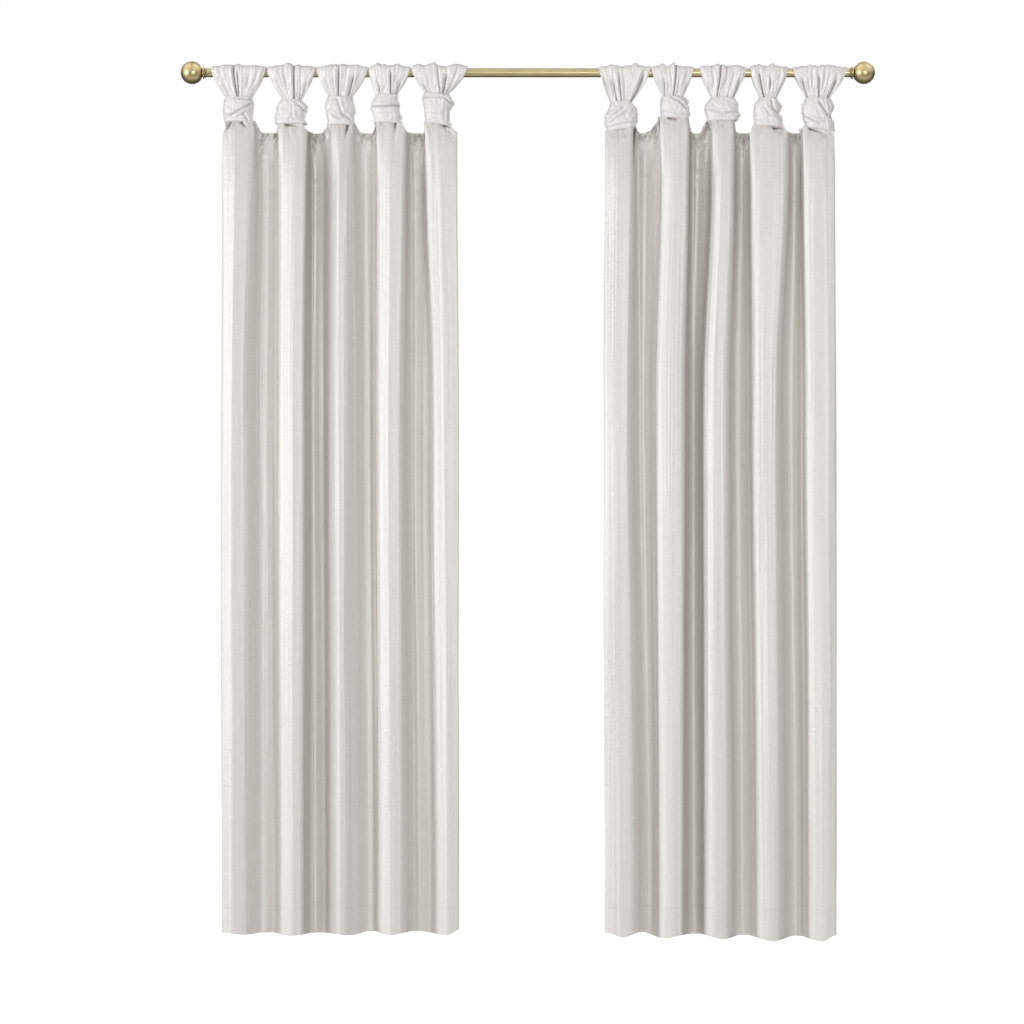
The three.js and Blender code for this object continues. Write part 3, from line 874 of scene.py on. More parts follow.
def slow_waves(wave, below):
    """What is uneven all the way down, in millimetres: gathers that fade out, ripples and wavering
    walls that fade in, and a fine crinkle."""
    return (wave("gather") * np.exp(-below / GATHER_FADE) * GATHER_HIGH
            + wave("ripple") * RIPPLE_HIGH * soft_step(below / RIPPLE_START)
            + wave("waver") * WAVER_HIGH * soft_step(below / WAVER_START) + wave("crinkle") * CRINKLE_HIGH)


print("waves", list(WAVES))

# %% A panel's surface
FLAT_WIDTH, FLAT_LENGTH = 1.05, 1.98
GATHER_ROWS, OPEN_ROWS, GATHER_LENGTH, GATHER_POWER = 62, 40, 260 * MM, 1.5
HEM_ROWS = np.array([9, 4, 1.5, 0.5, 0]) * MM
# Under a knot the front is drawn back towards the neck: to where, how far down, and how fast it ends
NECK_FRONT, DRAWN_LENGTH, DRAWN_END = -13.5 * MM, 15 * MM, 1.4
SIDE_HEM = 60 * MM  # so far from its sides the cloth is too stiff to pucker fully
VALLEY_STARTS, VALLEY_FADE = -12 * MM, 14 * MM
# Crumples under a knot: the share of the second wave, how far down, how fast they end, how far back
CROSS_CRUMPLE, CRUMPLE_LENGTH, CRUMPLE_END, CRUMPLE_FRONT = 0.8, 24 * MM, 1.6, -5 * MM
# Creases are on cloth in front of this, and fade out below this depth
CREASE_BACK, CREASE_LOW, CREASE_FADE = 12 * MM, 400 * MM, 60 * MM
# How dark the painted shade in creases, puckers and crumples is, and from which depth on in millimetres
CREASE_PAINTED_SHADE, CREASE_FROM, CREASE_RANGE = 0.85, 1.6, 3.4
PUCKER_PAINTED_SHADE, CRUMPLE_PAINTED_SHADE, CRUMPLE_FROM = 0.42, 0.30, 0.15


def panel_rows():
    """The heights of a panel's rows: closer together the nearer the heading, even below, and a few
    close to the hem."""
    share = np.linspace(0, 1, GATHER_ROWS, endpoint=False)
    even = np.linspace(HEADING_Z - GATHER_LENGTH, HEM_Z + HEM_ROWS[0], OPEN_ROWS)
    close = HEADING_Z - GATHER_LENGTH * share ** GATHER_POWER
    return np.concatenate([close, even, HEM_Z + HEM_ROWS[1:]])


def panel(name, faces, side_depths, knots, shoulders, creases, glints, outline, seed):
    """A panel: the fold line carried down all rows, its top edge drawn up and together under the
    knots, its hem dropped to its outline, and puckers, creases and ripples added along the normal."""
    z = panel_rows()
    below = HEADING_Z - z[:, None]
    line = fold_line(faces, z, side_depths)
    x, y = line[:, :, 0], line[:, :, 1]
    steps = np.hypot(np.diff(x, axis=1), np.diff(y, axis=1))[np.searchsorted(-z, -MIDDLE_Z)]
    station = np.concatenate([[0], np.cumsum(steps)])
    width = np.broadcast_to(station * (FLAT_WIDTH / station[-1]), x.shape)

    lift, under = under_knots(x[0], knots, shoulders)
    rise = lift * (under - HEADING_Z + RISE_INTO_KNOT) * np.clip(1 - below / RISE_FADE, 0, 1) ** 2
    low = soft_step((LOWER_Z - z) / (LOWER_Z - HEM_Z))[:, None]
    height = z[:, None] + rise - hem_fall(x, y, outline) * low
    beneath = np.maximum(under - height, 0)
    y = y - np.minimum(0, y - NECK_FRONT) * lift * bell(beneath, DRAWN_LENGTH, DRAWN_END)
    points = np.stack([x, y, height], axis=2)
    out = normals_of(points)
    out *= np.where(out[:, :, 1:2].mean() > 0, -1, 1)

    wave = waves_of(width, below, seed)
    in_valley = soft_step((y - VALLEY_STARTS) / VALLEY_FADE)
    hemmed = soft_step(np.minimum(width, FLAT_WIDTH - width) / SIDE_HEM)
    pucker, pucker_painted_shade = puckers(wave, below, in_valley * hemmed)
    crumple = wave("crumple") + CROSS_CRUMPLE * wave("cross_crumple")
    crumple = crumple * lift * bell(beneath, CRUMPLE_LENGTH, CRUMPLE_END) * (y < CRUMPLE_FRONT)
    in_front = (y < CREASE_BACK) * np.exp(-np.maximum(below - CREASE_LOW, 0) / CREASE_FADE)
    pulled = crease_field(x, height, creases) * in_front / MM
    # The ridges' heights, and the painted highlight on their crests
    glint, crest = (field * in_valley for field in glint_ridge(x, z, glints, below, seed + 9))
    move = (pucker + crumple + slow_waves(wave, below) - pulled) * MM + glint
    # Painted shade in the creases, the puckers' lines, the crumples and the cracks beside the pipes, less
    # the painted highlight on the valley ridges' crests
    painted_light_and_grime = (CREASE_PAINTED_SHADE * soft_step((pulled - CREASE_FROM) / CREASE_RANGE) + PUCKER_PAINTED_SHADE * pucker_painted_shade
              + CRUMPLE_PAINTED_SHADE * np.clip(-crumple - CRUMPLE_FROM, 0, 1) + painted_crack_shade(x, y, z, faces) - crest)
    item = grid_object(name, points + out * move[:, :, None], stacked(width, z[:, None] - HEM_Z), painted_light_and_grime)
    thicken(item, CLOTH)
    print(name, "fold line", round(float(steps.sum()), 3), "m,", x.shape, "points")
    return item


# %% Both panels
for side, faces, knots, shoulders, creases, glints, outline, seed in (
        ("left", LEFT_FACES, LEFT_KNOTS, LEFT_SHOULDERS, LEFT_CREASES, LEFT_GLINTS, LEFT_HEM, 11),
        ("right", RIGHT_FACES, RIGHT_KNOTS, RIGHT_SHOULDERS, RIGHT_CREASES, RIGHT_GLINTS, RIGHT_HEM, 31)):
    piece = panel(f"curtain_{side}", faces, SIDE_DEPTHS[side], knots, shoulders, creases, glints,
                  outline, seed)
    finish(piece, panel_cloth, "panel_cloth", f"panel_{side}")

# %% [markdown]
# ## The tabs
#
# A tab is one strip over the rod. At the knot it is bunched to a narrow neck, and above it spreads
# in pleats to its full width on the rod. Pleats are deep lines where cloth is tucked back with full
# ridges between them. So the surface is the strip's path, carried across its width, and pushed out
# everywhere except along the pleat lines, which the tables give at the rod and at the neck.

# %% Tab tables
ROD_RADIUS = (rod_high[2] - rod_low[2]) / 2
TAB_CLOTH = 1.3 * MM
TAB_COLUMNS = "fan_left fan_right neck_left neck_right"
LEFT_TABS = table(TAB_COLUMNS, [
    [-778, -642.2, -742, -677],
    [-641.4, -520.4, -600, -556],
    [-519.6, -392, -489, -430],
    [-391, -287.4, -374, -321],
    [-286.4, -148, -250, -194],
])
RIGHT_TABS = table(TAB_COLUMNS, [
    [174, 301, 202, 255],
    [302, 406, 332, 380],
    [421, 536, 449, 505],
    [544, 638, 569, 610],
    [649, 783, 682, 739],
])

# Pleat lines of each tab: where they are on the rod, where at the neck, how deep, how wide each side
# of the line is, and where between neck (0) and the rod's top (1000) the line starts and ends
PLEAT_COLUMNS = "rod neck deep left right starts ends"
LEFT_PLEATS = [table(PLEAT_COLUMNS, rows) for rows in (
    [[-752, -732, 3, 6, 5, 0, 700], [-722, -713, 10, 4, 7, 0, 2000], [-712, -709, 9, 4, 6, 0, 900],
     [-681, -694, 4, 8, 4, 300, 900], [-661, -684, 4, 4, 5, 500, 2000]],
    [[-622, -592, 2.5, 6, 5, 0, 600], [-600, -583, 3, 3, 6, 400, 2000], [-574, -574, 11, 4, 5, 0, 2000],
     [-556, -561, 3.5, 2.5, 4, 0, 1000], [-536, -557, 4, 4, 8, 0, 500]],
    [[-497, -485, 4, 6, 4, 0, 700], [-479, -472, 3, 4, 4, 0, 900], [-464, -465, 11, 5, 4, 0, 950],
     [-425, -440, 11, 8, 4, 0, 750], [-409, -433, 2, 5, 6, 400, 2000]],
    [[-371, -362, 7, 4, 4, 0, 500], [-346, -345, 3, 4, 3, 300, 2000], [-337, -337, 11, 3, 4, 0, 850],
     [-306, -323, 8, 6, 4, 0, 500]],
    [[-268, -246, 7, 6, 4, 0, 450], [-247, -238, 2.5, 4, 4, 200, 700], [-222, -215, 7, 3, 4, 0, 2000],
     [-198, -208, 11, 7, 4, 0, 800], [-173, -200, 3, 4, 6, 0, 900]],
)]
RIGHT_PLEATS = [table(PLEAT_COLUMNS, rows) for rows in (
    [[184, 202, 8, 5, 3, 0, 800], [206, 219, 7, 8, 5, 0, 700], [222, 230, 9, 4, 3, 0, 850],
     [236, 237, 2, 4, 4, 300, 2000], [285, 252, 10, 5, 10, 0, 850]],
    [[318, 333, 3, 5, 3, 0, 800], [334, 336, 8, 6, 3, 0, 600], [363, 356, 11, 3, 4, 0, 2000],
     [372, 363, 3, 4, 4, 0, 400], [391, 371, 2.5, 5, 5, 300, 900]],
    [[437, 448, 6, 5, 4, 0, 450], [455, 456, 2, 5, 4, 300, 2000], [473, 463, 10, 4, 3, 0, 2000],
     [488, 479, 6, 3, 3, 500, 2000], [505, 490, 2.5, 5, 5, 0, 700], [524, 504, 9, 5, 6, 0, 650]],
    [[566, 580, 11, 6, 3, 0, 850], [594, 592, 8, 3.5, 4, 300, 750], [618, 603, 3, 6, 6, 500, 900],
     [634, 608, 5, 4, 4, 0, 400]],
    [[668, 687, 9, 9, 5, 0, 700], [698, 694, 3, 3, 4, 400, 2000], [713, 713, 9, 4, 5, 0, 800],
     [728, 716, 5, 3, 5, 200, 900], [762, 734, 10, 5, 8, 0, 700]],
)]

# Small crests that stand up where a ridge turns over the rod: place, height and width
CREST_COLUMNS = "x high wide"
LEFT_CRESTS = [table(CREST_COLUMNS, rows) for rows in (
    [[-743, 4, 15], [-712, 6, 13], [-678, 2, 14]],
    [[-589, 7, 16], [-566, 2, 10]],
    [[-476, 4, 16], [-449, 5, 16], [-418, 4, 12]],
    [[-370, 8, 8], [-352, 5, 9], [-322, 6, 10]],
    [[-268, 5, 13], [-231, 11, 11], [-176, 6, 16]],
)]
RIGHT_CRESTS = [table(CREST_COLUMNS, rows) for rows in (
    [[206, 4, 18], [264, 9, 9]],
    [[331, 7, 9], [358, 9, 8]],
    [[430, 3, 10], [471, 5, 18], [510, 4, 12]],
    [[568, 5, 14], [600, 7, 7]],
    [[692, 5, 9], [728, 5, 22]],
)]


# %% The path of a tab
TAIL_Z, CREST_TOP, INTO_KNOT = -176 * MM, 12.2 * MM, 3 * MM
HIDDEN_STEPS, FRONT_STEPS, BACK_STEPS, ARC_STEPS = 5, 24, 12, 25
BACK_NARROWER = 0.05


def tab_rows(top, low):
    """The strip's rows as columns of height and turn: up from the tail in front, through the knot to
    the rod with the turn at 0, over the rod as an arc at height 0, and down behind with the turn at π."""
    hidden = [np.linspace(TAIL_Z, low, HIDDEN_STEPS, endpoint=False),
              np.linspace(low, top - INTO_KNOT, HIDDEN_STEPS, endpoint=False)]
    front, back = (np.concatenate(hidden + [np.linspace(top - INTO_KNOT, 0, steps, endpoint=False)])
                   for steps in (FRONT_STEPS, BACK_STEPS))
    arc = np.linspace(0, math.pi, ARC_STEPS)
    height = np.concatenate([front, np.zeros_like(arc), back[::-1]])
    turn = np.concatenate([np.zeros_like(front), arc, np.full_like(back, math.pi)])
    return height[:, None], turn[:, None]


def tab_widths(sizes, across, spread, side):
    """Where the points of each row lie along the rod, and the rows' middles: from the neck's width to
    the fan's by the share spread, and a little narrower behind the rod (side below 0)."""
    x = mix(mix(sizes["neck_left"], sizes["neck_right"], across),
            mix(sizes["fan_left"], sizes["fan_right"], across), spread)
    middle = (x[:, :1] + x[:, -1:]) / 2
    return middle + (x - middle) * (1 - BACK_NARROWER * soft_step(0.5 - side)), middle


print("rows of the first tab", len(tab_rows(LEFT_KNOTS["top"][0], LEFT_KNOTS["low_left"][0])[0]))

# %% Pleats and fine pleats
# How wide a pleat line is at the neck and on the rod, as a share; its fading at both ends as shares
# of the way from neck to rod; its section; and the lips beside it: height, place and width
LINE_NECK, LINE_ROD, LINE_POWER = 0.34, 0.66, 1.15
START_FADE, END_FADE, END_PAST = 0.25, 0.3, 0.22
LIP_SHARE, LIP_OFF, LIP_WIDE = 0.20, 2.6, 1.1
# Fine pleats, one row for each kind: how many there are across, how far they drift on the way from
# neck to rod, how often they change on it, their height in millimetres, and what is added to the seed
FINE_PLEATS = ((30, 0, 3, 0.75, 0), (15, -4, 6, 0.8, 40), (7, 2, 3, 1.3, 80))
SHARP_ACROSS, SHARP_ALONG, SHARP_DEEP, SHARP_WIDE, SHARP_SEED = 10, 1.4, 1.1 * MM, 0.10, 160
BACK_FINE, BACK_SHARP = 7, 9  # so many steps further on the noise, the back has pleats of its own
TOP_PITCHES, TOP_ROW, TOP_LEVEL, TOP_HIGH, TOP_SEED = 21, 3, 0.6, 0.8 * MM, 120


def pleat_fields(x, spread, pleats):
    """How far the cloth is tucked in, and the lips beside the pleat lines. With d the distance from a
    line over its side's width: the deepest of deep · e^-d^1.15, each fading where it starts and ends,
    and the highest of 0.20 · deep · e^-((d-2.6)/1.1)²."""
    away, lips = np.zeros_like(x), np.zeros_like(x)
    for at_rod, at_neck, deep, left, right, starts, ends in zip(*pleats.values()):
        off = x - mix(at_neck, at_rod, spread)
        off = np.abs(off) / (np.where(off < 0, left, right) * mix(LINE_NECK, LINE_ROD, spread))
        deep = (deep * soft_step((spread - starts) / START_FADE + (starts == 0))
                * soft_step((ends + END_PAST - spread) / END_FADE))
        away = np.maximum(away, deep * np.exp(-off ** LINE_POWER))
        lips = np.maximum(lips, LIP_SHARE * deep * bell(off - LIP_OFF, LIP_WIDE))
    return away, lips


def fine_pleats(across, spread, side, over, seed):
    """Small uneven pleats, the sum of three noises, and sharp lines where a fourth one crosses 0."""
    behind = side < 0
    fine = sum(high * MM * uneven(across * count + spread * drift, spread * changes + BACK_FINE * behind,
                                  seed + own) for count, drift, changes, high, own in FINE_PLEATS)
    sharp = uneven(across * SHARP_ACROSS + 0 * spread, spread * SHARP_ALONG + BACK_SHARP * behind,
                   seed + SHARP_SEED)
    return fine - SHARP_DEEP * bell(sharp, SHARP_WIDE) * mix(1, 0.5, over)


def crest_heights(x, across, crests, seed):
    """How far the ridges stand up on the rod: high · e^-|distance/wide|^1.5 for each crest, and a low
    uneven top everywhere."""
    peaks = sum(high * bell(x - place, wide, 1.5) for place, high, wide in zip(*crests.values()))
    return peaks + (uneven(across * TOP_PITCHES, TOP_ROW, seed + TOP_SEED) + TOP_LEVEL) * TOP_HIGH


print("pleat lines", [len(pleats["rod"]) for pleats in LEFT_PLEATS + RIGHT_PLEATS])

# %% A tab's surface
TAB_ACROSS = 106
SPREAD_POWER = 1.5
INSIDE = 1.2 * MM  # from the rod to the middle of the cloth
# A ridge between pleats: its height, how much lower it is at the tab's sides, and how fast
RIDGE_FULL, RIDGE_SIDES, SIDES_POWER = 7.5 * MM, 0.7, 6
# How full the relief is at the neck, near the rod and on top of it, and where the second starts
CALM_NECK, CALM_ROD, CALM_OVER, NEAR_ROD = 1.0, 0.8, 0.42, 0.3
PUSH_IN, PUSH_LEAST = -0.6 * MM, 0.05 * MM
BUNCH_SIDE, BUNCH_FULL = 1.35 * MM, 3.0 * MM  # half the neck's thickness at its sides, and more inside
# The tail inside the pipe: how gently it starts, how much narrower, how thick and how far forward
TAIL_START, TAIL_NARROWER, TAIL_HALF, TAIL_FORWARD = 30 * MM, 0.14, 3.5 * MM, 7 * MM
MAP_WIDTH = 0.145  # of the cloth that a tab is gathered from
# Painted shade along the pleat lines: how dark, from which depth of a line on, and over what range it grows
PLEAT_PAINTED_SHADE, PLEAT_FROM, PLEAT_RANGE = 0.72, 2.5, 6.5  # and from which depth on, in millimetres


def tab(name, sizes, pleats, crests, top, low, seed):
    """A tab along the path of tab_rows. With t from 0 at the neck to 1 on top of the rod, spread =
    1 - (1-t)^1.5. The cloth stands off the rod, and off the middle of its bunched neck, by a full
    ridge less the pleat lines, plus their lips and the fine pleats."""
    across = np.linspace(0, 1, TAB_ACROSS)
    u = 2 * across - 1
    height, turn = tab_rows(top, low)
    rise, side = height + CREST_TOP * np.sin(turn), np.cos(turn)
    spread = 1 - (1 - np.clip((rise - top) / (CREST_TOP - top), 0, 1)) ** SPREAD_POWER
    x, middle = tab_widths(sizes, across, spread, side)
    over = np.clip(np.sin(turn), 0, 1) ** 2

    away, lips = pleat_fields(x, spread, pleats)
    full = RIDGE_FULL * (1 - RIDGE_SIDES * np.abs(u) ** SIDES_POWER)
    calm = mix(CALM_NECK, CALM_ROD, soft_step(1 - rise / (top * NEAR_ROD))) * mix(1, CALM_OVER, over)
    thin = soft_step((height - low) / (top - low))
    fine = fine_pleats(across, spread, side, over, seed)
    push = np.maximum((full - away + lips) * calm + fine, PUSH_IN) * thin

    on_rod = ROD_RADIUS + INSIDE
    bunched = BUNCH_SIDE + BUNCH_FULL * (1 - u ** 2)
    below_rod = height < 0
    radius = np.where(below_rod, mix(bunched, on_rod, soft_step((height - top) / -top)), on_rod)
    radius = radius + np.maximum(push, PUSH_LEAST) + crest_heights(x, across, crests, seed) * over
    tail = soft_step((low - height) / TAIL_START)
    x = middle + (x - middle) * (1 - TAIL_NARROWER * tail)
    y = -side * mix(radius, TAIL_HALF, tail) - TAIL_FORWARD * tail
    points = stacked(x, y, np.where(below_rod, height, radius * np.sin(turn)))
    steps = np.linalg.norm(np.diff(points.mean(axis=1), axis=0), axis=1)
    down = np.concatenate([[0], np.cumsum(steps)])[:, None]
    # Painted shade along the deep pleat lines, none on the tail
    painted_light_and_grime = PLEAT_PAINTED_SHADE * soft_step((away / MM - PLEAT_FROM) / PLEAT_RANGE) * (1 - tail)
    item = grid_object(name, points, stacked(across * MAP_WIDTH, down), painted_light_and_grime)
    thicken(item, TAB_CLOTH)
    widths = np.linalg.norm(np.diff(points, axis=1), axis=2).sum(axis=1)
    return item, (float(widths.max()), float(down[-1, 0]))


for side, tabs, pleats, crests, knots, seed in (
        ("left", LEFT_TABS, LEFT_PLEATS, LEFT_CRESTS, LEFT_KNOTS, 51),
        ("right", RIGHT_TABS, RIGHT_PLEATS, RIGHT_CRESTS, RIGHT_KNOTS, 61)):
    for k in range(KNOTS_EACH):
        low = min(knots["low_left"][k], knots["low_right"][k])
        piece, flat = tab(f"fan_{side}_{k + 1}", row_of(tabs, k), pleats[k], crests[k], knots["top"][k],
                          low, seed + k)
        finish(piece, tab_cloth, "tab_cloth", f"tab_{side}_{k + 1}")
        print(piece.name, "strip", np.round(flat, 3), "m")

# %% [markdown]
# ## The knots
#
# A knot is a band of the cloth wound round the neck, fuller in the middle, turned in at the top and
# rolled under along its lower edge. Its outline is given by insets from its widest place at five
# heights, left and right, because every knot was tied by hand and none is alike. Overlaps are
# creases: the cloth dips along a line and stands proud on its upper side.

# %% Knot tables
OUTLINE_COLUMNS = "l0 l1 l2 l3 l4 r0 r1 r2 r3 r4 tilt"
LEFT_OUTLINES = table(OUTLINE_COLUMNS, [
    [4, 2, 0, 2, 5, 13, 0, 1, 7, 4, 5],
    [9, 3, 0, -5, -3, 10, -7, -2, 1, -6, -1],
    [4, -1, -1, 3, 3, 13, 2, -1, 2, 1, -1],
    [11, 2, -3, 6, 7, 9, 7, 4, -1, 0, -1],
    [2, -1, 2, 5, 5, 4, -6, 5, 6, 0, -9],
])
RIGHT_OUTLINES = table(OUTLINE_COLUMNS, [
    [14, 5, -1, -2, 5, 15, 1, -1, -1, 5, 3],
    [2, 0, 0, 0, 1, 15, 4, 2, -1, 3, 0],
    [14, 1, -4, 0, 1, 12, 2, 3, -3, 6, -3],
    [11, 1, -1, 0, 0, 14, 0, 8, -1, -6, -2],
    [9, -1, 0, 2, 11, 5, -2, 7, -2, -4, -2],
])

# Creases of each knot, from one end to the other. Across runs from -1 at the left to 1 at the
# right, and up from 0 at the lower edge to 1 at the top. Deep is in millimetres.
FOLD_COLUMNS = "across0 up0 across1 up1 deep"
LEFT_FOLDS = [table(FOLD_COLUMNS, rows, 1) for rows in (
    [[-0.6, 0.20, 0.85, 0.69, 3.0], [-0.05, 0.16, 0.55, 0.38, 2.0], [0.33, 0.30, 0.66, 0.03, 2.6],
     [-0.05, 0.95, 0.85, 0.84, 2.4], [-0.36, 0.85, -0.36, 0.40, 0.9]],
    [[0.13, 0.76, 0.13, 0.40, 2.4], [0.13, 0.40, -0.04, 0.16, 2.0], [0.13, 0.40, 0.22, 0.16, 2.0],
     [0.48, 0.80, 0.98, 0.50, 3.0], [-0.95, 0.45, -0.55, 0.30, 1.6]],
    [[-0.25, 0.90, 0.10, 0.36, 3.4], [0.10, 0.36, 0.72, 0.16, 3.4], [-0.96, 0.52, -0.36, 0.76, 1.6],
     [-0.90, 0.42, -0.40, 0.62, 1.4], [-0.70, 0.33, 0.04, 0.15, 2.8]],
    [[-1.0, 0.55, -0.3, 0.55, 3.6], [-0.3, 0.55, 0.95, 0.60, 3.6], [-0.5, 0.70, 0.75, 0.86, 1.2],
     [-0.05, 0.30, 0.28, 0.20, 1.6]],
    [[-1.0, 0.80, 0.45, 0.88, 2.4], [0.50, 0.88, 1.0, 0.70, 3.0], [-0.30, 0.34, 0.18, 0.30, 1.4],
     [0.0, 0.75, 0.05, 0.10, 1.0], [0.55, 0.75, 0.45, 0.10, 1.2]],
)]
RIGHT_FOLDS = [table(FOLD_COLUMNS, rows, 1) for rows in (
    [[-0.88, 0.42, 0.12, 0.78, 2.6], [-0.80, 0.26, 0.42, 0.64, 2.2], [-0.40, 0.92, -0.25, 0.70, 1.8],
     [0.55, 0.98, 0.98, 0.84, 2.4], [-0.92, 0.14, 0.95, 0.21, 1.8]],
    [[-0.36, 0.98, 0.36, 0.70, 2.8], [0.36, 0.70, 0.78, 0.42, 3.0], [0.20, 1.0, 0.70, 0.66, 2.0],
     [0.50, 0.98, 0.78, 0.62, 2.0], [0.95, 0.70, 0.50, 0.56, 2.0], [-0.9, 0.20, 0.8, 0.14, 1.2]],
    [[-0.92, 0.42, 0.03, 0.26, 2.4], [0.03, 0.26, 0.92, 0.38, 2.4], [-0.85, 0.84, -0.50, 0.60, 2.0],
     [0.30, 0.85, 0.95, 0.62, 1.4]],
    [[0.15, 0.94, 0.27, 0.62, 3.4], [0.27, 0.62, 0.70, 0.45, 3.4], [-0.36, 0.64, 0.14, 0.34, 2.8],
     [-0.95, 0.20, -0.20, 0.06, 1.8], [0.50, 0.38, 0.98, 0.22, 2.2]],
    [[0.03, 0.86, 0.58, 0.46, 3.6], [0.30, 0.95, 0.46, 0.66, 2.0], [0.64, 0.92, 0.72, 0.62, 2.0],
     [-0.92, 0.32, 0.12, 0.14, 2.8], [0.58, 0.46, 0.95, 0.40, 2.0]],
)]
KNOT_DEPTH = 25 * MM
HOLE_DEPTH, HOLE_MARGIN = 8.2 * MM, 2.5 * MM


# %% The creases of a knot
# In millimetres: a crease's half width, and more of it for each millimetre of depth; how far past its
# ends it starts, and over what length it fades in
LINE_WIDE, LINE_WIDER, LINE_PAST, LINE_ENDS = 1.5, 0.35, 5, 8
# As shares of depth and width: the dip on the line, and the lip above it with its place and width
DIP_DEEP, DIP_POWER, LIP_HIGH, LIP_PLACE, LIP_SPREAD = 1.3, 1.5, 0.7, 2.4, 2


def fold_field(across, up, folds, scale):
    """Two fields in millimetres: what the creases add, -1.3 · deep · e^-|d/w|^1.5 on the line and
    0.7 · deep · e^-((d-2.4w)/2w)² on its upper side, where d is the distance from the segment; and
    how deep the lines alone go."""
    total, lines = np.zeros_like(across), np.zeros_like(across)
    for a0, b0, a1, b1, deep in zip(*folds.values()):
        wide = LINE_WIDE + LINE_WIDER * deep
        px, pz = (across - a0) * scale[0], (up - b0) * scale[1]
        sx, sz = (a1 - a0) * scale[0], (b1 - b0) * scale[1]
        length = math.hypot(sx, sz)
        along = (px * sx + pz * sz) / length
        beside = (sx * pz - sz * px) / length * (1 if sx >= 0 else -1)
        ends = (soft_step((along + LINE_PAST) / LINE_ENDS)
                * soft_step((length + LINE_PAST - along) / LINE_ENDS))
        dip = DIP_DEEP * bell(beside, wide, DIP_POWER)
        lip = LIP_HIGH * bell(beside - LIP_PLACE * wide, LIP_SPREAD * wide)
        total += deep * ends * (lip - dip)
        lines = np.maximum(lines, deep * ends * dip)
    return total, lines


print("creases of each knot", [len(folds["deep"]) for folds in LEFT_FOLDS + RIGHT_FOLDS])

# %% The relief of a knot
# The rolled lower edge and the groove above it: height in millimetres, place and width in shares
RIM, RIM_GROOVE = (1.5, 0.05, 0.045), (-1.0, 0.14, 0.04)
# Small folds, one row for each kind: their pitches and slants on across and up, their height, and
# what is added to the seed; and sharp lines where a last noise crosses 0
SMALL_FOLDS = ((5, 4, 6, -2, 1.0, 0), (13, 9, 15, -6, 0.5, 20))
SHARP_FOLDS, SHARP_FOLD_DEEP, SHARP_FOLD_WIDE = (4, 5, 5, -2.5, 40), 0.9, 0.09
BACK_FOLDS = 20  # so many steps further on the noise, the back has folds of its own
EDGE_RISE, EDGE_LEAST = 14, 0.25


def knot_relief(seen, up, behind, folds, scale, seed):
    """What is added along the normal in millimetres: creases, the rolled lower edge and small uneven
    folds, less at both edges. And how deep the creases' lines go."""
    def noise(a, b, c, d, own):
        return uneven(seen * a + up * b, up * c + seen * d + BACK_FOLDS * behind, seed + own)

    height, lines = fold_field(seen, up, folds, scale)
    for high, place, wide in (RIM, RIM_GROOVE):
        height = height + high * bell(up - place, wide)
    for *slants, high, own in SMALL_FOLDS:
        height = height + noise(*slants, own) * high
    height = height - SHARP_FOLD_DEEP * bell(noise(*SHARP_FOLDS), SHARP_FOLD_WIDE)
    return height * soft_step(np.minimum(up, 1 - up) * EDGE_RISE + EDGE_LEAST), lines


# %% A knot's surface
KNOT_ROUND, KNOT_OUTER, KNOT_INNER = 168, 60, 8
EDGE_POWER, EDGE_WIDTH = 7, 0.62  # how late the edges turn in, and how far towards the hole
BOXY_ACROSS, BOXY_DEEP = 0.82, 0.8  # powers below 1 turn the round section into a fuller one
KNOT_EDGES, KNOT_BELLY = 0.84, 0.16  # shares of the depth at both edges, and more of it between
KNOT_MAP = (0.07, 0.20)  # the map's size in metres round the band and round the neck
# Painted shade along the knot's creases: how dark, from which depth of a line on, and over what range it
# grows
KNOT_PAINTED_SHADE, KNOT_FROM, KNOT_RANGE = 0.45, 1.2, 3.2  # and from which depth on, in millimetres


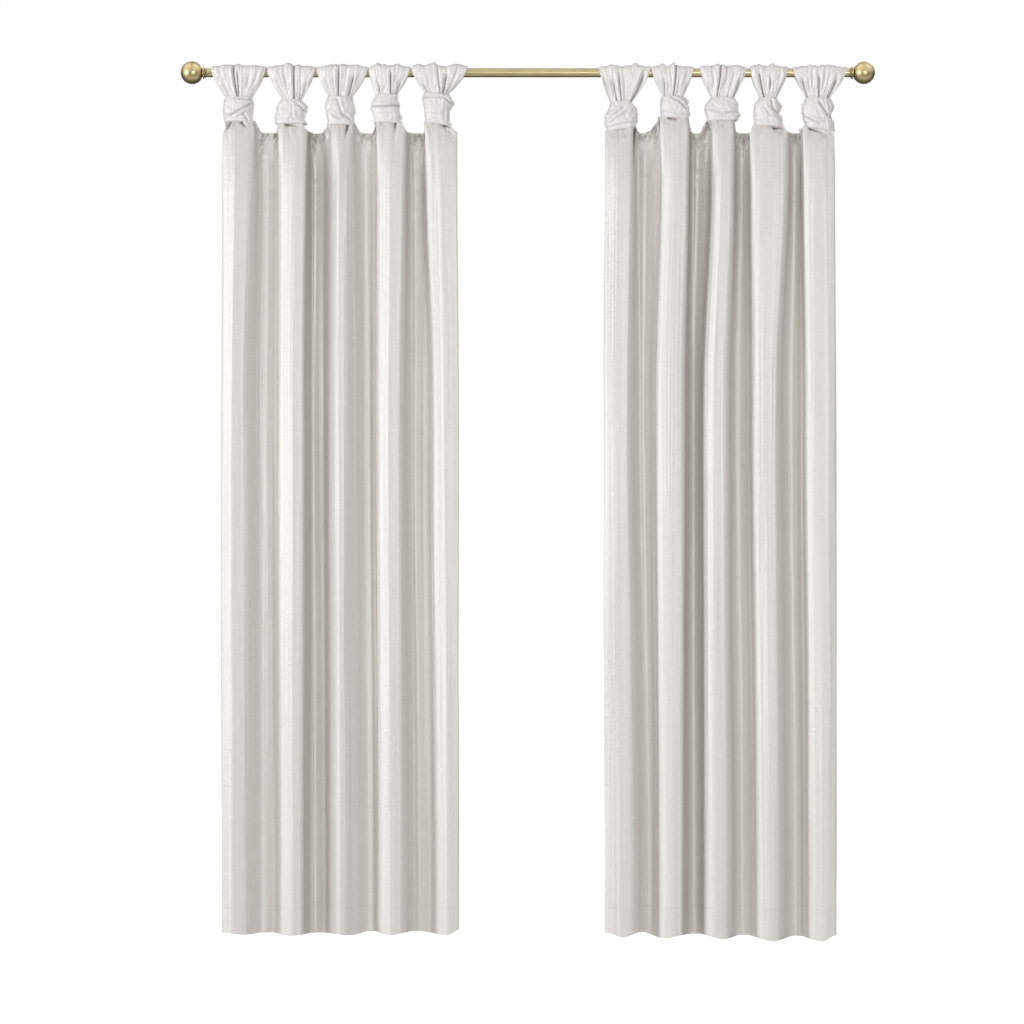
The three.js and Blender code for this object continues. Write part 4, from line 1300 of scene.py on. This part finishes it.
def knot(name, sizes, outline, folds, tab_sizes, seed):
    """A knot: round the neck by an angle and round the band's section by s, from 0 at the top down
    the outside to 1 and back up along the hole. Outside, half width = widest - inset(s), drawn in at
    both edges by (1 - |2s-1|⁷)^½. The section is |cos|^0.82 across and |sin|^0.8 deep."""
    angle = np.linspace(0, 2 * math.pi, KNOT_ROUND, endpoint=False)
    boxy = np.sign(np.cos(angle)) * np.abs(np.cos(angle)) ** BOXY_ACROSS
    boxy_deep = np.sign(np.sin(angle)) * np.abs(np.sin(angle)) ** BOXY_DEEP
    s = np.concatenate([0.5 - 0.5 * np.cos(np.linspace(0, math.pi, KNOT_OUTER)),
                        np.linspace(1, 0, KNOT_INNER + 2)[1:-1]])[:, None]
    outer = (np.arange(len(s)) < KNOT_OUTER)[:, None]
    levels = np.linspace(0, 1, 5)
    left, right = (np.interp(s, levels, [outline[f"{edge}{n}"] for n in range(5)]) for edge in "lr")
    left, right = sizes["left"] + left, sizes["right"] - right
    out_share = np.where(outer, mix(EDGE_WIDTH, 1.0, (1 - np.abs(2 * s - 1) ** EDGE_POWER) ** 0.5), 0)
    hole_mid = (tab_sizes["neck_left"] + tab_sizes["neck_right"]) / 2
    hole_half = (tab_sizes["neck_right"] - tab_sizes["neck_left"]) / 2 + HOLE_MARGIN
    x = mix(hole_mid + hole_half * boxy, (left + right) / 2 + (right - left) / 2 * boxy, out_share)
    full = KNOT_DEPTH * (KNOT_EDGES + KNOT_BELLY * np.sin(math.pi * s))
    y = mix(HOLE_DEPTH, full, out_share) * boxy_deep
    half = (sizes["right"] - sizes["left"]) / 2
    across = np.clip((x - (sizes["left"] + sizes["right"]) / 2) / half, -1, 1)
    lower = mix(sizes["low_left"], sizes["low_right"], (across + 1) / 2)
    z = mix(sizes["top"] + outline["tilt"] * across / 2, lower, s)

    points = np.stack([x, y, z], axis=2)
    ring = np.pad(points, ((1, 1), (1, 1), (0, 0)), mode="wrap")
    out = normals_of(ring)[1:-1, 1:-1]
    out *= np.sign((out[KNOT_OUTER // 2, :, 1] * y[KNOT_OUTER // 2]).sum())
    scale = float(half) / MM, float(sizes["top"] - sizes["low_left"]) / MM
    seen = np.where(y > 0, -across, across)
    height, lines = knot_relief(seen, 1 - s + 0 * x, y > 0, folds, scale, seed)
    points = points + out * (height * outer * MM)[:, :, None]
    band = np.concatenate([s, s[:1]]) * KNOT_MAP[0]
    place = stacked(band, np.linspace(0, KNOT_MAP[1], KNOT_ROUND + 1))
    # Painted shade along the creases, on the outside of the band only
    painted_light_and_grime = KNOT_PAINTED_SHADE * soft_step((lines - KNOT_FROM) / KNOT_RANGE) * outer
    item = grid_object(name, points, place, painted_light_and_grime, round_rows=True, round_columns=True)
    face_out(item)
    return item


# %% All ten knots
for side, tabs, knots, outlines, folds, seed in (
        ("left", LEFT_TABS, LEFT_KNOTS, LEFT_OUTLINES, LEFT_FOLDS, 71),
        ("right", RIGHT_TABS, RIGHT_KNOTS, RIGHT_OUTLINES, RIGHT_FOLDS, 81)):
    for k in range(KNOTS_EACH):
        piece = knot(f"twist_{side}_{k + 1}", row_of(knots, k), row_of(outlines, k), folds[k],
                     row_of(tabs, k), seed + k)
        finish(piece, knot_cloth, "knot_cloth", f"knot_{side}_{k + 1}")

# %% [markdown]
# ## The rod and its finials
#
# Turned and lacquered brass: a plain tube, and at each end a ball on a collar ring and a small step.
# Turning is what a lathe does, so each is a profile carried round the rod's axis. Brass darkens in
# the grooves and stays brighter where hands rub it, so the colour follows a slow noise and the
# grooves are cut in the shape.

# %% Brass
BRASS_DEEP, BRASS_BRIGHT, GRIME = (0.575, 0.465, 0.24, 1), (0.67, 0.555, 0.31, 1), (0.07, 0.045, 0.015, 1)
PATCHES, PATCH_RANGE, BRASS_ROUGH = 35, (0.3, 0.7), (0.30, 0.40)
TURNING = (2600, 60, 60)  # lines to the metre along the rod, and waves along a line


def brass_material():
    """Satin brass: slow patches between two golds, grime in the grooves, and a fine bump round the
    turning."""
    material, tree, skin = new_material("brass", {"Metallic": 1.0})
    spot = add(tree, "TexCoord").outputs["Object"]
    patch = add(tree, "TexNoise", {"Vector": spot, "Scale": PATCHES, "Detail": 3}).outputs["Fac"]
    grime = add(tree, "Attribute", attribute_name="painted_light_and_grime").outputs["Fac"]
    colour = blend(tree, grime, blend(tree, patch, BRASS_DEEP, BRASS_BRIGHT), GRIME)
    rough = map_range(tree, patch, *PATCH_RANGE, *BRASS_ROUGH)
    stretched = add(tree, "Mapping", {"Vector": spot, "Scale": TURNING}).outputs[0]
    lines = add(tree, "TexNoise", {"Vector": stretched, "Scale": 1}).outputs["Fac"]
    relief = add(tree, "Bump", {"Strength": 0.03, "Distance": 0.1 * MM, "Height": lines}).outputs[0]
    feed(tree, skin.inputs, {"Base Color": colour, "Roughness": rough, "Normal": relief})
    return material


brass = brass_material()
print("brass", [round(level, 2) for level in BRASS_BRIGHT[:3]])

# %% Profiles
BALL_RADIUS, BALL_FROM_MIDDLE = 27.5 * MM, 825 * MM
BALL_STEPS, BALL_CUT = 44, 0.44  # the arc's steps, and how much of the half turn is left open
COLLAR_RADIUS, STEP_RADIUS, GROOVE_RADIUS, FACE_RADIUS = 15.5 * MM, 12.5 * MM, 10.2 * MM, 10.5 * MM
COLLAR_HALF, STEP_HALF, COLLAR_PLACE, STEP_PLACE = 2.0 * MM, 1.5 * MM, 0.36, 0.74
ROD_EDGE, ROD_STEPS = 0.6 * MM, 40


def bead(middle, half, radius, steps=9):
    """A rounded ring on the profile: groove + (radius - groove) · (1 - t⁴)^½ for t from 1 to -1."""
    t = np.linspace(1, -1, steps)
    rise = (radius - GROOVE_RADIUS) * np.sqrt(1 - t ** 4)
    return stacked(GROOVE_RADIUS + rise, middle + t * half)


def finial_profile():
    """(radius, place along the rod) from the ball's outer pole to the rod's end: the ball as an arc,
    a groove, the collar ring, a groove, the small step, and the face that meets the rod."""
    arc = np.linspace(0, math.pi - BALL_CUT, BALL_STEPS)
    ball = stacked(BALL_RADIUS * np.sin(arc), BALL_FROM_MIDDLE + BALL_RADIUS * np.cos(arc))
    ball_end, rod_end = ball[-1, 1], rod_high[0] + 0.3 * MM
    collar = bead(mix(ball_end, rod_end, COLLAR_PLACE), COLLAR_HALF, COLLAR_RADIUS)
    step = bead(mix(ball_end, rod_end, STEP_PLACE), STEP_HALF, STEP_RADIUS)
    return np.concatenate([ball, [(GROOVE_RADIUS, ball_end - 0.6 * MM)], collar, step,
                           [(FACE_RADIUS, rod_end), (0, rod_end)]])


def rod_profile():
    """(radius, place) along the rod, flat at both ends with a narrow bevel."""
    half, inner = rod_high[0], ROD_RADIUS - ROD_EDGE
    tube = [(ROD_RADIUS, v) for v in np.linspace(2 * ROD_EDGE - half, half - 2 * ROD_EDGE, ROD_STEPS)]
    return np.array([(0, -half), (inner, -half), (ROD_RADIUS, ROD_EDGE - half), *tube,
                     (ROD_RADIUS, half - ROD_EDGE), (inner, half), (0, half)])


print("finial from", round(finial_profile()[-1, 1], 4), "to", round(finial_profile()[0, 1], 4))

# %% Turned pieces
TURN_STEPS = 72
TURN_MAP = 0.08
WORN_RADIUS, WORN_FADE, WORN_PLACE = 12.2 * MM, 1.2 * MM, BALL_FROM_MIDDLE - BALL_RADIUS * 0.8


def turned(name, profile, flip=1, groove=0.0):
    """A profile carried round the X axis in even turns: (flip · along, radius · cos, radius · sin).
    Points on the rod's side of the ball within groove of the axis count as grooves, dark with wear."""
    radius, along = profile.T[:, :, None]
    angle = np.linspace(0, 2 * math.pi, TURN_STEPS, endpoint=False)
    points = stacked(flip * along, radius * np.cos(angle), radius * np.sin(angle))
    place = stacked(along, np.linspace(0, TURN_MAP, TURN_STEPS + 1))
    dark = soft_step((groove - radius) / WORN_FADE) * (along < WORN_PLACE)
    item = grid_object(name, points, place, dark + 0 * points[:, :, 0], round_columns=True)
    face_out(item, weld=0.01 * MM)
    return item


finish(turned("rod_tube", rod_profile()), brass, "brass", "rod")
for side, flip in (("left", -1), ("right", 1)):
    ball_piece = turned(f"ball_{side}", finial_profile(), flip, groove=WORN_RADIUS)
    finish(ball_piece, brass, "brass", f"finial_{side}")
print("turned pieces done")

# %% [markdown]
# ## The box of the shown pieces
#
# Each panel is one cut of cloth. Its flat size is that of the cut before it is gathered: wider than the
# panel hangs, because the folds and the heading take up the rest. The tabs' strips were printed above with
# their own lengths, and the knots are wound and creased. The box round all shown pieces is printed last.

final_box = [list(corner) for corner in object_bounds()]
print("visual box", final_box)
